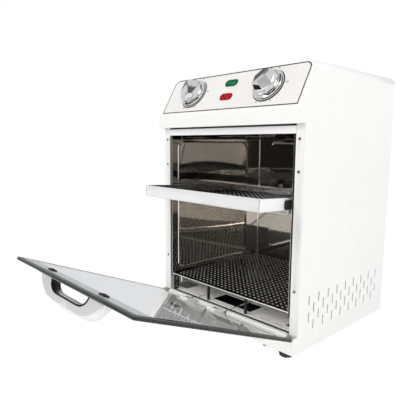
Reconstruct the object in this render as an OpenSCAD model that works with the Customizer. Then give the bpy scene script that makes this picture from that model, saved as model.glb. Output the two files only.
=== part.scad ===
/* [Cabinet] */
// Width of the cabinet over the cover
body_w = 300; // [270:5:340]
// Depth of the cabinet, header face to back
body_d = 270; // [255:5:320]
// Height of the cabinet without its feet
body_h = 406; // [400:2:440]
// Sheet steel thickness of the casing
sheet = 1.2; // [0.8:0.1:1.6]
// Radius of the cover's two long top edges
top_r = 12; // [4:1:20]
// Height of the base band below the door
base_h = 24; // [23:0.5:25]
// Setback of the door frame behind header and base
recess = 11.3; // [11:0.1:13]
// Depth of the header's lower edge below the cabinet's top
header_drop = 85.2; // [76:0.2:88]
// Depth of the header's bend below the cabinet's top
slant_drop = 65; // [60:1:70]
// Slope of the control panel, from vertical
slant_angle = 29.6; // [20:0.1:35]
// Play between pieces that are fitted side by side
gap = 0.3; // [0.2:0.05:0.5]

/* [Side vents] */
// Width of a side slot
vent_w = 2.2; // [1.5:0.1:3]
// Length of a side slot
vent_h = 14.5; // [10:0.5:18]
// Distance between slots in a row
vent_pitch = 25.4; // [20:0.2:28]
// Distance between rows of slots
vent_row_pitch = 12.9; // [10:0.1:15]
// Rows of slots
vent_rows = 4; // [2:1:4]
// Slots in the longer rows
vent_count = 9; // [5:1:9]
// Height of the lowest row's middle
vent_low = 34; // [30:1:45]
// Distance of the first slot from the header face
vent_front = 37; // [30:1:50]

/* [Control panel] */
// Distance of each knob's axis from the middle
knob_x = 79; // [70:1:95]
// Distance of the knob axes up the slope
knob_u = 40.5; // [36:0.5:46]
// Radius of the knob's skirt
knob_skirt_r = 24.5; // [20:0.5:27]
// Radius of the knob's faceted body
knob_r = 20.5; // [16:0.5:22]
// Height of the knob above the fascia
knob_h = 20; // [16:1:26]
// Width of the knob's grip bar
grip_w = 9; // [6:1:14]
// Radius of the control shafts
shaft_r = 3; // [2.5:0.25:3.5]
// Radius of the threaded bushings
bushing_r = 4.7; // [4.3:0.1:5]
// Thickness of the fascia plate
fascia_t = 0.6; // [0.4:0.1:1]
// Margin of the fascia at the sides
fascia_side = 6.8; // [4:0.2:10]
// Margin of the fascia at its lower edge
fascia_low = 4.6; // [3:0.2:8]
// Length of the fascia up the slope
fascia_len = 68.8; // [66:0.2:69.5]
// Radius of the fascia's upper corners
fascia_r = 11; // [6:1:16]
// Length of a lamp lens
lamp_len = 26; // [20:1:34]
// Width of a lamp lens
lamp_w = 12.4; // [10:0.2:16]
// Distance of both lamps from the middle
lamp_x = 2; // [0:1:6]
// Height of the upper lamp up the slope
green_u = 52.6; // [52:0.2:55]
// Height of the lower lamp up the slope
red_u = 27.6; // [26:0.2:31]
// Height of the lenses above the fascia
lamp_h = 2; // [1:0.5:4]

/* [Oven chamber] */
// Space between the chamber and the outside of the cover at each side
chamber_side = 19; // [19:1:21]
// Depth position of the chamber's back wall
chamber_back = 256; // [235:1:258]
// Depth of the chamber's ceiling below the cabinet's top
ceiling_drop = 90; // [88:1:94]
// Height of the perforated floor's top
floor_z = 55; // [54:0.5:56]
// Thickness of the polished lining
lining = 1; // [0.6:0.1:1.2]
// Diameter of a floor hole
floor_hole = 6; // [4:0.5:9]
// Distance between floor holes
floor_pitch = 20; // [16:1:26]
// Height of the bright strip over the opening
strip_h = 10.5; // [8:0.5:12]
// Distance of the strip below the header
strip_gap = 2.3; // [1.5:0.1:4]
// Width of each front post's face
post_w = 14.6; // [13:0.2:16]
// Depth of the front posts' inner returns
post_return = 12; // [8:1:16]
// Height of the equipment deck under the chamber
deck_z = 25; // [24.5:0.5:26]
// Distance of the deck's front edge behind the header face
deck_front = 20; // [19:0.5:21]

/* [Door] */
// Space between the closed glass and the header above it
glass_head = 10.8; // [6.4:0.2:20]
// Thickness of the door glass
glass_t = 4.5; // [4:0.5:5]
// Height of the open door's free edge, as an angle above horizontal
door_rise = 22.3; // [10:0.1:30]
// Distance of the hinge axis behind the header face
pivot_y = 9.2; // [9:0.1:9.4]
// Height of the hinge axis above the cabinet's underside
pivot_z = 20; // [19.5:0.1:20]
// Distance of the glass's edge from the hinge axis
glass_gap = 10.4; // [10.4:0.1:12]
// Distance of the glass's inner face from the hinge axis
glass_in = 1.2; // [1:0.1:1.5]
// Radius of the hinge tubes
tube_r = 6.2; // [5:0.1:6.2]
// Radius of the hinge rod
rod_r = 2.5; // [2:0.1:3]
// Play of the door's tube on the rod
rod_play = 0.06; // [0.03:0.01:0.1]
// Left end of the door's own tube
tube_left = -68.5; // [-80:0.5:-60]
// Right end of the door's own tube
tube_right = 13.5; // [5:0.5:20]
// Distance of the handle's axis from the glass's free edge
handle_in = 16.5; // [14:0.5:20]
// Overall width of the handle
handle_w = 164; // [150:2:200]
// How far the handle stands off the glass
handle_h = 32; // [30:1:40]
// Width of the handle along the door
handle_d = 13; // [11:1:26]
// Thickness of the handle's bar
handle_t = 13; // [10:1:16]
// Outer radius of the handle's corners
handle_r = 45; // [42:1:60]
// Distance between the handle's fixings
handle_pitch = 133; // [110:1:150]

/* [Tray] */
// Space between the tray and the chamber at each side
tray_side = 3.5; // [3.5:0.5:11]
// Length of the tray
tray_len = 224.5; // [200:0.5:228]
// Height of the tray's walls
tray_h = 18.5; // [16:0.5:24]
// Thickness of the tray's sheet
tray_t = 1; // [0.6:0.1:1.2]
// How far the pulled-out tray's front stands in front of the header
tray_out = 49.5; // [40:0.5:60]
// Height of the tray's front lower edge
tray_z = 205; // [190:1:215]
// Fall of the tray and its runners to the rear
tray_tilt = 2.8; // [0:0.1:3]
// Radius of the runner rods
runner_r = 2; // [1.5:0.1:2.5]
// Distance of the runner rods from the chamber's sides
runner_side = 7; // [6:1:13]
// Spacing of the rack's bars
rack_pitch = 16; // [12:1:24]
// Radius of the rack's bars
rack_r = 1; // [0.8:0.1:1.5]
// Radius of the rack's frame rod
rack_frame_r = 1.5; // [1.2:0.1:2]

/* [Fan and heater] */
// Distance of the fan's axis behind the header face
fan_y = 150; // [140:1:160]
// Radius of the convection fan
fan_r = 60; // [45:1:62]
// Number of fan blades
fan_blades = 10; // [6:1:14]
// Radius of the heater's outer ring
heater_r = 76; // [68:1:78]
// Radius of the heater's tube
heater_tube = 3.5; // [3:0.25:4]
// Half width of the fan housing
housing_x = 95; // [92:1:100]
// Height of the fan housing over the ceiling
housing_h = 33; // [32:1:34]
// Radius of the motor
motor_r = 26; // [20:1:30]
// Height of the motor
motor_h = 24; // [20:1:26]
// Radius of the opening under the fan
intake_r = 66; // [60:1:68]

/* [Feet and fixings] */
// Height of the feet
foot_h = 12; // [8:1:16]
// Radius of the feet
foot_r = 12; // [10:0.5:14]
// Distance of the feet from the sides of the cover
foot_side = 23; // [20:1:40]
// Distance of the front feet behind the header face
foot_front = 18; // [16:1:40]
// Distance of the rear feet from the back
foot_rear = 47; // [30:1:60]
// Radius of the small screw heads
screw_r = 2.6; // [2:0.1:3]
// Height of the small screw heads
screw_h = 1.2; // [0.8:0.1:2]
// Height of the low heads on the posts, behind the closed door
post_screw_h = 0.6; // [0.4:0.1:0.6]
// Radius of the mains cord's hole through the gland
cord_r = 3.6; // [3:0.1:4.5]
// Radius of the gland's neck
gland_r = 7; // [6:0.5:9]
// How far the gland stands out of the back
gland_out = 12; // [8:1:16]

/* [Hidden] */
$fn = 48;
inner_w = body_w - 2 * sheet;
header_low = body_h - header_drop;
slant_low = body_h - slant_drop;
ceiling_z = body_h - ceiling_drop;
chamber_w = body_w - 2 * chamber_side;
chamber_x = chamber_w / 2;
tray_w = chamber_w - 2 * tray_side;
runner_x = chamber_x - runner_side;
glass_len = header_low - glass_head - pivot_z - glass_gap;
foot_x = body_w / 2 - foot_side;
chamber_front = recess + sheet + gap;
post_in = body_w / 2 - post_w;
strip_top = header_low - strip_gap;
pan_x = [-chamber_x + gap, chamber_x - gap];

// Reach of the open door in front of the header, and of the gland behind it
handle_tip = glass_gap + glass_len - handle_in + handle_d / 2;
handle_drop = glass_t - glass_in + handle_h;
front_reach = handle_tip * cos(door_rise) + handle_drop * sin(door_rise) - pivot_y;
rear_reach = body_d + gland_out;
origin_y = (rear_reach - front_reach) / 2;

door_open = 90 - door_rise;
slant_top_y = (body_h - slant_low) * tan(slant_angle);
fascia_w = body_w - 2 * fascia_side;
bushing_top = fascia_t + 4.4;
nut_h = 2.5;
control_depth = 28;
control_w = 38;
housing_front = 62;
housing_back = 240;
motor_z = ceiling_z + lining + housing_h;
fan_z = ceiling_z + 15;
fan_shaft_r = 3;
steel = [0.72, 0.73, 0.74];
white = [0.94, 0.93, 0.90];
mirror = [0.45, 0.44, 0.43];
black = [0.06, 0.06, 0.06];

// Places the cabinet on its feet, with the origin under the middle of the open oven
module placed() {
  translate([0, -origin_y, foot_h]) children();
}

// Local frame of the sloping panel: X across, Y up the slope, Z out of the face
module on_slant(x, u, h) {
  translate([x, 0, slant_low]) rotate([90 - slant_angle, 0, 0]) translate([0, u, h]) children();
}

// Local frame of the door about its hinge axis: X across, Y inwards, Z towards the free edge
module on_door() {
  translate([0, pivot_y, pivot_z]) rotate([door_open, 0, 0]) children();
}

// Local frame of the tray: origin at the front lower edge, Y into the oven
module on_tray() {
  translate([0, -tray_out, tray_z]) rotate([-tray_tilt, 0, 0]) children();
}

// A box given by its lowest and highest corners
module block(lo, hi) {
  translate(lo) cube(hi - lo);
}

// A rod along X between two places
module rod_x(x0, x1, r) {
  translate([x0, 0, 0]) rotate([0, 90, 0]) cylinder(r = r, h = x1 - x0);
}

// A rod along Y between two places
module rod_y(y0, y1, r) {
  translate([0, y1, 0]) rotate([90, 0, 0]) cylinder(r = r, h = y1 - y0);
}

// Front view of the cover with rounded top edges, shrunk by a sheet thickness where asked
module cover_front(inset, low) {
  half = body_w / 2 - inset;
  r = max(top_r - inset, 1);
  top = body_h - inset;
  translate([-half, low]) square([2 * half, top - r - low]);
  translate([-half + r, low]) square([2 * (half - r), top - low]);
  for (s = [-1, 1]) translate([s * (half - r), top - r]) circle(r = r);
}

// Runs a front view back along the cabinet
module run_back(y0, y1) {
  translate([0, y1, 0]) rotate([90, 0, 0]) linear_extrude(y1 - y0) children();
}

// Runs a side view, drawn as depth and height, across the cabinet
module run_across(w) {
  rotate([90, 0, 90]) linear_extrude(w, center = true) children();
}

// Side view of the cabinet: header and base stand out in front of the door frame
module cabinet_side() {
  polygon([
    [0, 0], [body_d, 0], [body_d, body_h], [slant_top_y, body_h], [0, slant_low],
    [0, header_low], [recess, header_low], [recess, base_h], [0, base_h]
  ]);
}

// Rows of slots in both sides, every second row short by one and shifted by half a pitch
module side_vents() {
  for (row = [0 : vent_rows - 1]) {
    short = 1 - row % 2;
    for (i = [0 : vent_count - 1 - short]) {
      y = vent_front + (i + short / 2) * vent_pitch;
      z = vent_low + row * vent_row_pitch;
      translate([0, y, z]) cube([body_w + 2, vent_w, vent_h], center = true);
    }
  }
}

module outer_cover() {
  color(white) placed() difference() {
    intersection() {
      run_back(0, body_d) difference() {
        cover_front(0, 0);
        cover_front(sheet, -1);
      }
      run_across(body_w + 2) cabinet_side();
    }
    side_vents();
  }
}

// Lens outline with round ends
module capsule(len, w, h) {
  for (s = [-1, 1]) translate([s * (len - w) / 2, 0, 0]) cylinder(r = w / 2, h = h);
  translate([-(len - w) / 2, -w / 2, 0]) cube([len - w, w, h]);
}

// Holes for the bushings and lenses, through the panel and the fascia
module panel_holes() {
  for (s = [-1, 1]) on_slant(s * knob_x, knob_u, -5) cylinder(r = bushing_r + gap, h = 10);
  for (u = [green_u, red_u]) {
    on_slant(lamp_x, u, -5) capsule(lamp_len + 2 * gap, lamp_w + 2 * gap, 10);
  }
}

module control_panel() {
  back = sheet / cos(slant_angle);
  top = body_h - sheet;
  top_y = (top - slant_low) * tan(slant_angle);
  bend_z = slant_low + (sheet - back) / tan(slant_angle);
  color(white) placed() difference() {
    intersection() {
      run_across(inner_w) polygon([
        [recess, header_low], [0, header_low], [0, slant_low], [top_y, top], [top_y + back, top],
        [sheet, bend_z], [sheet, header_low + sheet], [recess, header_low + sheet]
      ]);
      run_back(-1, body_d) cover_front(sheet, 0);
    }
    panel_holes();
  }
}

module panel_fascia() {
  color([0.93, 0.91, 0.86]) placed() difference() {
    on_slant(0, fascia_low, 0) {
      translate([-fascia_w / 2, 0, 0]) cube([fascia_w, fascia_len - fascia_r, fascia_t]);
      translate([-fascia_w / 2 + fascia_r, 0, 0]) cube([fascia_w - 2 * fascia_r, fascia_len, fascia_t]);
      for (s = [-1, 1]) {
        translate([s * (fascia_w / 2 - fascia_r), fascia_len - fascia_r, 0]) cylinder(r = fascia_r, h = fascia_t);
      }
    }
    panel_holes();
  }
}

// Angle-section post: a face beside the opening and a return along the lining
module post(side) {
  x0 = side * inner_w / 2;
  x1 = side * post_in;
  xr = side * (post_in + sheet);
  color(white) placed() difference() {
    union() {
      block([min(x0, x1), recess, base_h], [max(x0, x1), recess + sheet, header_low]);
      block([min(x1, xr), recess, deck_z], [max(x1, xr), recess + post_return, header_low]);
    }
    post_screw_places(side) cylinder(r = screw_r / 2, h = 4, center = true);
  }
}

module left_post() {
  post(-1);
}

module right_post() {
  post(1);
}

// Screw places on one post, with local Z out of the face
module post_screw_places(side) {
  x = side * (post_in + 6);
  for (z = [base_h + 65, header_low - 63.8, header_low - 19.8]) {
    translate([x, recess, z]) rotate([90, 0, 0]) children();
  }
}

module post_screws() {
  color(steel) placed() for (side = [-1, 1]) post_screw_places(side) {
    cylinder(r = screw_r, h = post_screw_h);
    translate([0, 0, -4]) cylinder(r = screw_r / 2, h = 4);
  }
}

module top_strip() {
  low = strip_top - strip_h;
  w = post_in - gap;
  color(steel) placed() {
    block([-w, recess, low], [w, recess + sheet, strip_top]);
    block([gap - chamber_x, recess, low], [chamber_x - gap, recess + 8, low + sheet]);
  }
}

module base_front() {
  w = inner_w / 2;
  color(white) placed() {
    block([-w, 0, 0], [w, sheet, base_h]);
    block([-w, 0, 0], [w, 14, sheet]);
  }
}

deck_side = inner_w / 2;
deck_openings = [
  [2.8 - deck_side, 35.8 - deck_side], [-43, 43], [deck_side - 35.8, deck_side - 2.8]
];
deck_holes = [-98, -53, 53, 98];
deck_slots = [[-86, -68], [68, 86], [deck_side - 51.8, deck_side - 35.8]];

// Equipment deck under the chamber, with a folded front lip, windows, holes and slots
module base_deck() {
  w = inner_w / 2;
  color(white) placed() difference() {
    union() {
      block([-w, deck_front, deck_z - sheet], [w, body_d - sheet, deck_z]);
      block([-w, deck_front, sheet], [w, deck_front + sheet, deck_z]);
    }
    for (o = deck_openings) block([o[0], 33, deck_z - 5], [o[1], 66, deck_z + 5]);
    for (x = deck_holes) translate([x, 61, deck_z - 5]) cylinder(r = 2.5, h = 10);
    for (s = deck_slots) block([s[0], 28, deck_z - 5], [s[1], 31, deck_z + 5]);
  }
}

module bottom_plate() {
  w = inner_w / 2;
  color(white) placed() difference() {
    block([-w, 14, 0], [w, body_d - sheet, sheet]);
    for (x = [-80 : 16 : 80]) block([x - 2, 90, -1], [x + 2, 150, sheet + 1]);
    foot_places() cylinder(r = 2, h = 10, center = true);
  }
}

// Middle of the cord gland
gland_x = body_w / 2 - 55;
gland_z = 40;

module back_cover() {
  color(white) placed() difference() {
    run_back(body_d - sheet, body_d) cover_front(sheet, 0);
    for (row = [0 : 2]) for (i = [-6 : 6]) {
      translate([i * 15, body_d, body_h - 56 + row * 15]) cube([9, 10, 4], center = true);
    }
    translate([gland_x, body_d + 1, gland_z]) rotate([90, 0, 0]) cylinder(r = gland_r, h = 10);
    back_screw_places() cylinder(r = screw_r / 2, h = 6, center = true);
  }
}

// Screw places round the back cover, with local Z out of the face
module back_screw_places() {
  for (x = [-1, 1]) for (z = [15, body_h / 2, body_h - 18]) {
    translate([x * (inner_w / 2 - 10), body_d, z]) rotate([-90, 0, 0]) children();
  }
}

module back_screws() {
  color(steel) placed() back_screw_places() {
    cylinder(r = screw_r, h = screw_h);
    translate([0, 0, -5]) cylinder(r = screw_r / 2, h = 5);
  }
}

flange = 9;
floor_low = floor_z - sheet;

// Side wall of the chamber with a folded flange that carries the floor
module lining_side(side) {
  x0 = side * chamber_x;
  x1 = side * (chamber_x + lining);
  xf = side * (chamber_x - flange);
  color(mirror) placed() {
    block([min(x0, x1), chamber_front, floor_low - lining], [max(x0, x1), chamber_back, ceiling_z]);
    block([min(xf, x1), chamber_front + 14, floor_low - lining], [max(xf, x1), chamber_back, floor_low]);
  }
}

module lining_left() {
  lining_side(-1);
}

module lining_right() {
  lining_side(1);
}

module lining_back() {
  w = chamber_x + lining;
  color(mirror) placed() block([-w, chamber_back, floor_low], [w, chamber_back + lining, ceiling_z]);
}

module lining_top() {
  w = chamber_x + lining;
  color(mirror) placed() difference() {
    block([-w, chamber_front, ceiling_z], [w, chamber_back + lining, ceiling_z + lining]);
    translate([0, fan_y, ceiling_z - 1]) cylinder(r = intake_r, h = 5, $fn = 96);
  }
}

floor_front = chamber_front + 1;
floor_rows = floor((chamber_back - floor_front - 16) / floor_pitch);
floor_cols = floor((chamber_w - 2 * flange - 8) / floor_pitch);

module perforated_floor() {
  y0 = (floor_front + chamber_back - floor_rows * floor_pitch) / 2;
  color([0.25, 0.25, 0.25]) placed() difference() {
    union() {
      block([pan_x[0], floor_front, floor_low], [pan_x[1], chamber_back - gap, floor_z]);
      block([pan_x[0], floor_front, floor_z - 4], [pan_x[1], floor_front + sheet, floor_z]);
    }
    for (i = [0 : floor_cols]) for (j = [0 : floor_rows]) {
      translate([(i - floor_cols / 2) * floor_pitch, y0 + j * floor_pitch, floor_low - 1])
        cylinder(d = floor_hole, h = 4);
    }
  }
}

post_x = 43;

module floor_posts() {
  color(black) placed() for (s = [-1, 1]) {
    block([s * post_x - 1.8, deck_front, deck_z], [s * post_x + 1.8, deck_front + 3.6, floor_low]);
  }
}

// Wire runners under the tray: two side rods, two cross rods and studs into the lining
module tray_runners() {
  low = -gap - runner_r;
  cross = low - runner_r - 1.4;
  y0 = chamber_front + 2 + tray_out;
  y1 = chamber_back - 6 + tray_out;
  color(steel) placed() intersection() {
    on_tray() {
      for (s = [-1, 1]) {
        translate([s * runner_x, 0, low]) rod_y(y0, y1, runner_r);
        for (y = [y0 + 12, (y0 + y1) / 2, y1 - 12]) {
          translate([s * (runner_x + chamber_x) / 2, y, low]) rod_x(-6, 6, 1.6);
        }
      }
      for (y = [y0 + 2, y1 - 20]) translate([0, y, cross]) rod_x(-runner_x, runner_x, 1.8);
    }
    block([-chamber_x, 0, 0], [chamber_x, body_d, body_h]);
  }
}

module heater() {
  z = ceiling_z + lining + 4.5;
  color([0.3, 0.28, 0.27]) placed() translate([0, fan_y, z]) {
    rotate_extrude($fn = 96) translate([heater_r, 0]) circle(r = heater_tube);
    for (x = [-8, 8]) translate([x, 0, 0]) rod_y(heater_r, housing_back - fan_y + 8, heater_tube - 0.6);
  }
}

// Ceramic blocks that hold the heater ring on the ceiling
module heater_insulators() {
  color([0.9, 0.88, 0.82]) placed() difference() {
    for (a = [45 : 90 : 315]) translate([0, fan_y, ceiling_z + lining]) rotate([0, 0, a]) {
      block([heater_r - 7, -5, 0], [heater_r + 7, 5, 11]);
    }
    translate([0, fan_y, ceiling_z + lining + 4.5]) rotate_extrude($fn = 96) {
      translate([heater_r, 0]) circle(r = heater_tube);
    }
  }
}

// Round wire grille below the ceiling's opening
module fan_guard() {
  wire = 1.2;
  rings = 5;
  color(steel) placed() translate([0, fan_y, ceiling_z]) {
    for (i = [0 : rings - 1]) {
      r = (intake_r + 4) * (1 - i / rings);
      difference() {
        translate([0, 0, -2 * wire]) cylinder(r = r + wire, h = 2 * wire, $fn = 96);
        translate([0, 0, -2 * wire - 1]) cylinder(r = r - wire, h = 2 * wire + 2, $fn = 96);
      }
    }
  }
  color(steel) placed() translate([0, fan_y, ceiling_z - 1.5 * wire]) {
    for (a = [0 : 45 : 135]) rotate([0, 0, a]) {
      block([-intake_r - 4, -wire, -wire / 2], [intake_r + 4, wire, wire / 2]);
    }
  }
}

module fan_housing() {
  t = 0.8;
  z0 = ceiling_z + lining;
  color(steel) placed() difference() {
    block([-housing_x, housing_front, z0], [housing_x, housing_back, motor_z]);
    block([t - housing_x, housing_front + t, z0 - 1], [housing_x - t, housing_back - t, motor_z - t]);
    translate([0, fan_y, z0]) cylinder(r = 8, h = 60);
    for (x = [-8, 8]) translate([x, 0, z0 + 4.5]) rod_y(housing_back - 5, housing_back + 5, heater_tube);
  }
}

// Convection fan on its shaft
module fan_rotor() {
  blade_h = 11;
  color(steel) placed() translate([0, fan_y, fan_z]) {
    translate([0, 0, -4]) cylinder(r = 9, h = 14);
    translate([0, 0, blade_h - 1]) cylinder(r = fan_r, h = 1.2, $fn = 96);
    for (i = [0 : fan_blades - 1]) rotate([0, 0, i * 360 / fan_blades]) {
      block([18, -0.5, 0], [fan_r - 2, 0.5, blade_h]);
    }
    cylinder(r = fan_shaft_r, h = motor_z - fan_z + motor_h + 22);
  }
}

module motor() {
  bore = fan_shaft_r + rod_play;
  color([0.5, 0.5, 0.52]) placed() translate([0, fan_y, motor_z]) difference() {
    union() {
      cylinder(r = motor_r, h = motor_h);
      cylinder(r = motor_r + 8, h = 2);
      cylinder(r = 8, h = motor_h + 4);
    }
    translate([0, 0, -1]) cylinder(r = bore, h = motor_h + 10);
  }
}

// Small fan that cools the control space, on the motor's upper shaft end
module cooling_fan() {
  z = motor_z + motor_h + 8;
  color(black) placed() translate([0, fan_y, z]) difference() {
    union() {
      cylinder(r = 9, h = 10);
      for (i = [0 : 6]) rotate([0, 0, i * 360 / 7]) translate([7, 0, 5]) rotate([30, 0, 0]) {
        block([0, -7, -0.5], [30, 7, 0.5]);
      }
    }
    translate([0, 0, -1]) cylinder(r = fan_shaft_r, h = 12);
  }
}

// Control behind the panel: a box, a threaded bushing and the seat of the turning shaft
module control_body(x) {
  bore = shaft_r + rod_play;
  on_slant(x, knob_u, 0) difference() {
    union() {
      block([-control_w / 2, -control_w / 2, -sheet - control_depth], [control_w / 2, control_w / 2, -sheet]);
      translate([0, 0, -sheet]) cylinder(r = bushing_r, h = sheet + bushing_top);
    }
    translate([0, 0, -sheet - control_depth / 2]) cylinder(r = bore, h = control_depth);
  }
}

module control_shaft(x) {
  base = -sheet - control_depth / 2 + gap;
  on_slant(x, knob_u, base) cylinder(r = shaft_r, h = knob_h - 5 - base);
}

// Chrome knob: skirt, eight-sided body, grip bar; hollow below for nut and bushing
module control_knob(x, turn) {
  low = fascia_t + 1;
  top = fascia_t + knob_h;
  on_slant(x, knob_u, 0) rotate([0, 0, turn]) difference() {
    union() {
      translate([0, 0, low]) cylinder(r = knob_skirt_r, h = 3.5);
      translate([0, 0, low]) cylinder(r = knob_r, h = top - low - 4, $fn = 8);
      translate([0, 0, low]) cylinder(r = knob_r - 3, h = top - low - 1.5);
      block([-grip_w / 2, -knob_r, low], [grip_w / 2, knob_r, top]);
    }
    translate([0, 0, low - 1]) cylinder(r = 9, h = bushing_top + gap + 1 - low + 1);
    translate([0, 0, low]) cylinder(r = shaft_r, h = knob_h - 5 - low);
  }
}

module thermostat_body() {
  color(black) placed() control_body(-knob_x);
}

module timer_body() {
  color(black) placed() control_body(knob_x);
}

module thermostat_shaft() {
  color(steel) placed() control_shaft(-knob_x);
}

module timer_shaft() {
  color(steel) placed() control_shaft(knob_x);
}

module thermostat_knob() {
  color([0.85, 0.85, 0.86]) placed() control_knob(-knob_x, 30);
}

module timer_knob() {
  color([0.85, 0.85, 0.86]) placed() control_knob(knob_x, -45);
}

module shaft_nuts() {
  color(steel) placed() for (s = [-1, 1]) on_slant(s * knob_x, knob_u, fascia_t) difference() {
    cylinder(r = 7.5, h = nut_h, $fn = 6);
    translate([0, 0, -1]) cylinder(r = bushing_r, h = nut_h + 2);
  }
}

// Sensing bulb of the thermostat under the ceiling, with its two clips
module thermostat_bulb() {
  z = ceiling_z - 5;
  color(steel) placed() translate([-chamber_x, 38, 0]) {
    translate([0, 0, z]) rod_x(21, 91, 2.5);
    for (x = [31, 81]) block([x - 2, -2, z], [x + 2, 2, ceiling_z]);
  }
}

// Capsule lens with a shoulder behind the panel
module lens(u) {
  on_slant(lamp_x, u, 0) {
    translate([0, 0, -sheet]) capsule(lamp_len, lamp_w, sheet + fascia_t + lamp_h);
    translate([0, 0, -sheet - 2]) capsule(lamp_len + 3, lamp_w + 3, 2);
  }
}

module green_lens() {
  color([0.0, 0.5, 0.3]) placed() lens(green_u);
}

module red_lens() {
  color([0.7, 0.05, 0.08]) placed() lens(red_u);
}

module lamp_holders() {
  color(black) placed() for (u = [green_u, red_u]) on_slant(lamp_x, u, -sheet - 2 - 16) {
    block([-13, -6, 0], [13, 6, 16]);
    for (x = [-8, 8]) block([x - 2.4, -0.4, -8], [x + 2.4, 0.4, 0]);
  }
}

module terminal_block() {
  color([0.9, 0.9, 0.88]) placed() difference() {
    block([gland_x - 65, body_d - sheet - 8, gland_z - 8], [gland_x - 25, body_d - sheet, gland_z + 8]);
    for (x = [-58 : 9 : -31]) {
      translate([gland_x + x, body_d - 15, gland_z]) rotate([-90, 0, 0]) cylinder(r = 2.4, h = 9);
    }
  }
}

module cord_gland() {
  color(black) placed() translate([gland_x, body_d, gland_z]) rotate([-90, 0, 0]) difference() {
    union() {
      translate([0, 0, -sheet - 3]) cylinder(r = gland_r + 3, h = 3);
      translate([0, 0, -sheet]) cylinder(r = gland_r, h = sheet);
      cylinder(r = gland_r + 2, h = 4);
      cylinder(r = gland_r - 1, h = gland_out);
    }
    translate([0, 0, -sheet - 4]) cylinder(r = cord_r, h = gland_out + 10);
  }
}

module foot_places() {
  for (x = [-1, 1]) for (y = [foot_front, body_d - foot_rear]) translate([x * foot_x, y, 0]) children();
}

module feet() {
  color(black) placed() foot_places() difference() {
    union() {
      translate([0, 0, -foot_h]) cylinder(r1 = foot_r - 2, r2 = foot_r, h = foot_h);
      cylinder(r = 2, h = sheet);
    }
    translate([0, 0, -foot_h - 1]) cylinder(r = 4, h = 6);
  }
}

module base_screws() {
  color(steel) placed() for (s = [-1, 1]) {
    for (p = [[s * 100, 5.5], [s * (inner_w / 2 - 6), 36]]) {
      translate([p[0], p[1], -screw_h]) cylinder(r = screw_r, h = screw_h);
    }
  }
}

bracket_out = chamber_x + 2.4;

module hinge_rod() {
  color(steel) placed() translate([0, pivot_y, pivot_z]) rod_x(-bracket_out, bracket_out, rod_r);
}

// Legs that carry the hinge rod's ends off the base
module hinge_brackets() {
  color(white) placed() difference() {
    for (s = [-1, 1]) {
      x0 = min(s * chamber_x, s * bracket_out);
      block([x0, sheet, sheet], [x0 + bracket_out - chamber_x, pivot_y + 5, pivot_z]);
      translate([0, pivot_y, pivot_z]) rod_x(x0, x0 + bracket_out - chamber_x, 5);
    }
    translate([0, pivot_y, pivot_z]) rod_x(-body_w, body_w, rod_r);
  }
}

// Fixed sleeves on the rod, left and right of the door's own tube
module hinge_tubes() {
  color(white) placed() translate([0, pivot_y, pivot_z]) difference() {
    union() {
      rod_x(-chamber_x, tube_left - gap, tube_r);
      rod_x(tube_right + gap, chamber_x, tube_r);
    }
    rod_x(-body_w, body_w, rod_r);
  }
}

module door_tube() {
  color(white) placed() translate([0, pivot_y, pivot_z]) difference() {
    rod_x(tube_left, tube_right, tube_r);
    rod_x(-body_w, body_w, rod_r + rod_play);
  }
}

arm_t = 2.8;
arm_x = [tube_left + 9, tube_right - 7];
arm_tip = glass_gap + 24;

// Arms from the door's tube to the glass, each with a wider pad under two bolts
module door_arms() {
  color(white) placed() on_door() difference() {
    for (x = arm_x) {
      block([x - 6, glass_in, 0], [x + 6, glass_in + arm_t, glass_gap + 2]);
      block([x - 9, glass_in, glass_gap - 2], [x + 9, glass_in + arm_t, arm_tip]);
    }
    rod_x(-body_w, body_w, tube_r);
    arm_bolts() cylinder(r = 2, h = 40, center = true);
  }
}

// Bolt places through the pads and the glass, with local Z outwards
module arm_bolts() {
  for (x = arm_x) translate([x, 0, glass_gap + 14]) rotate([90, 0, 0]) children();
}

// Outer pads and bolts that clamp the glass to the arms
module door_pads() {
  outer = glass_t - glass_in;
  color(steel) placed() on_door() arm_bolts() {
    translate([0, 0, outer]) cylinder(r = 8, h = 1.5);
    translate([0, 0, -glass_in - arm_t]) cylinder(r = 2, h = glass_t + arm_t + 2);
    translate([0, 0, -glass_in - arm_t - 1.6]) cylinder(r = 4, h = 1.6);
  }
}

// Handle fixings, with local Z outwards from the hinge plane
module handle_places() {
  for (s = [-1, 1]) {
    translate([s * handle_pitch / 2, 0, glass_gap + glass_len - handle_in]) rotate([90, 0, 0]) children();
  }
}

module door_glass() {
  color([0.6, 0.7, 0.66, 0.4]) placed() on_door() difference() {
    block([-body_w / 2, glass_in - glass_t, glass_gap], [body_w / 2, glass_in, glass_gap + glass_len]);
    arm_bolts() cylinder(r = 2, h = 40, center = true);
    handle_places() cylinder(r = 2.5, h = 40, center = true);
  }
}

base_t = 1.5;

// Flat base under the handle's feet, against the outside of the glass
module handle_base() {
  out = glass_in - glass_t;
  z = glass_gap + glass_len - handle_in;
  color([0.7, 0.7, 0.7]) placed() on_door() difference() {
    block([-handle_w / 2, out - base_t, z - 12], [handle_w / 2, out, z + 12]);
    handle_places() cylinder(r = 2.5, h = 40, center = true);
  }
}

// Face of a loop: a flat side on the door and two wide arcs that start at its ends
module loop_face(w, h, r) {
  middle = w / 2 - sqrt(r * r - (r - h) * (r - h));
  intersection() {
    union() {
      translate([-middle, 0]) square([2 * middle, h]);
      for (s = [-1, 1]) translate([s * middle, h - r]) circle(r = r, $fn = 64);
    }
    translate([-w / 2, 0]) square([w, h]);
  }
}

liner_t = 2;
foot_w = 33;
window_w = handle_w - 2 * foot_w;
window_h = handle_h - base_t - handle_t;
window_r = handle_r / 2;

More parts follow.
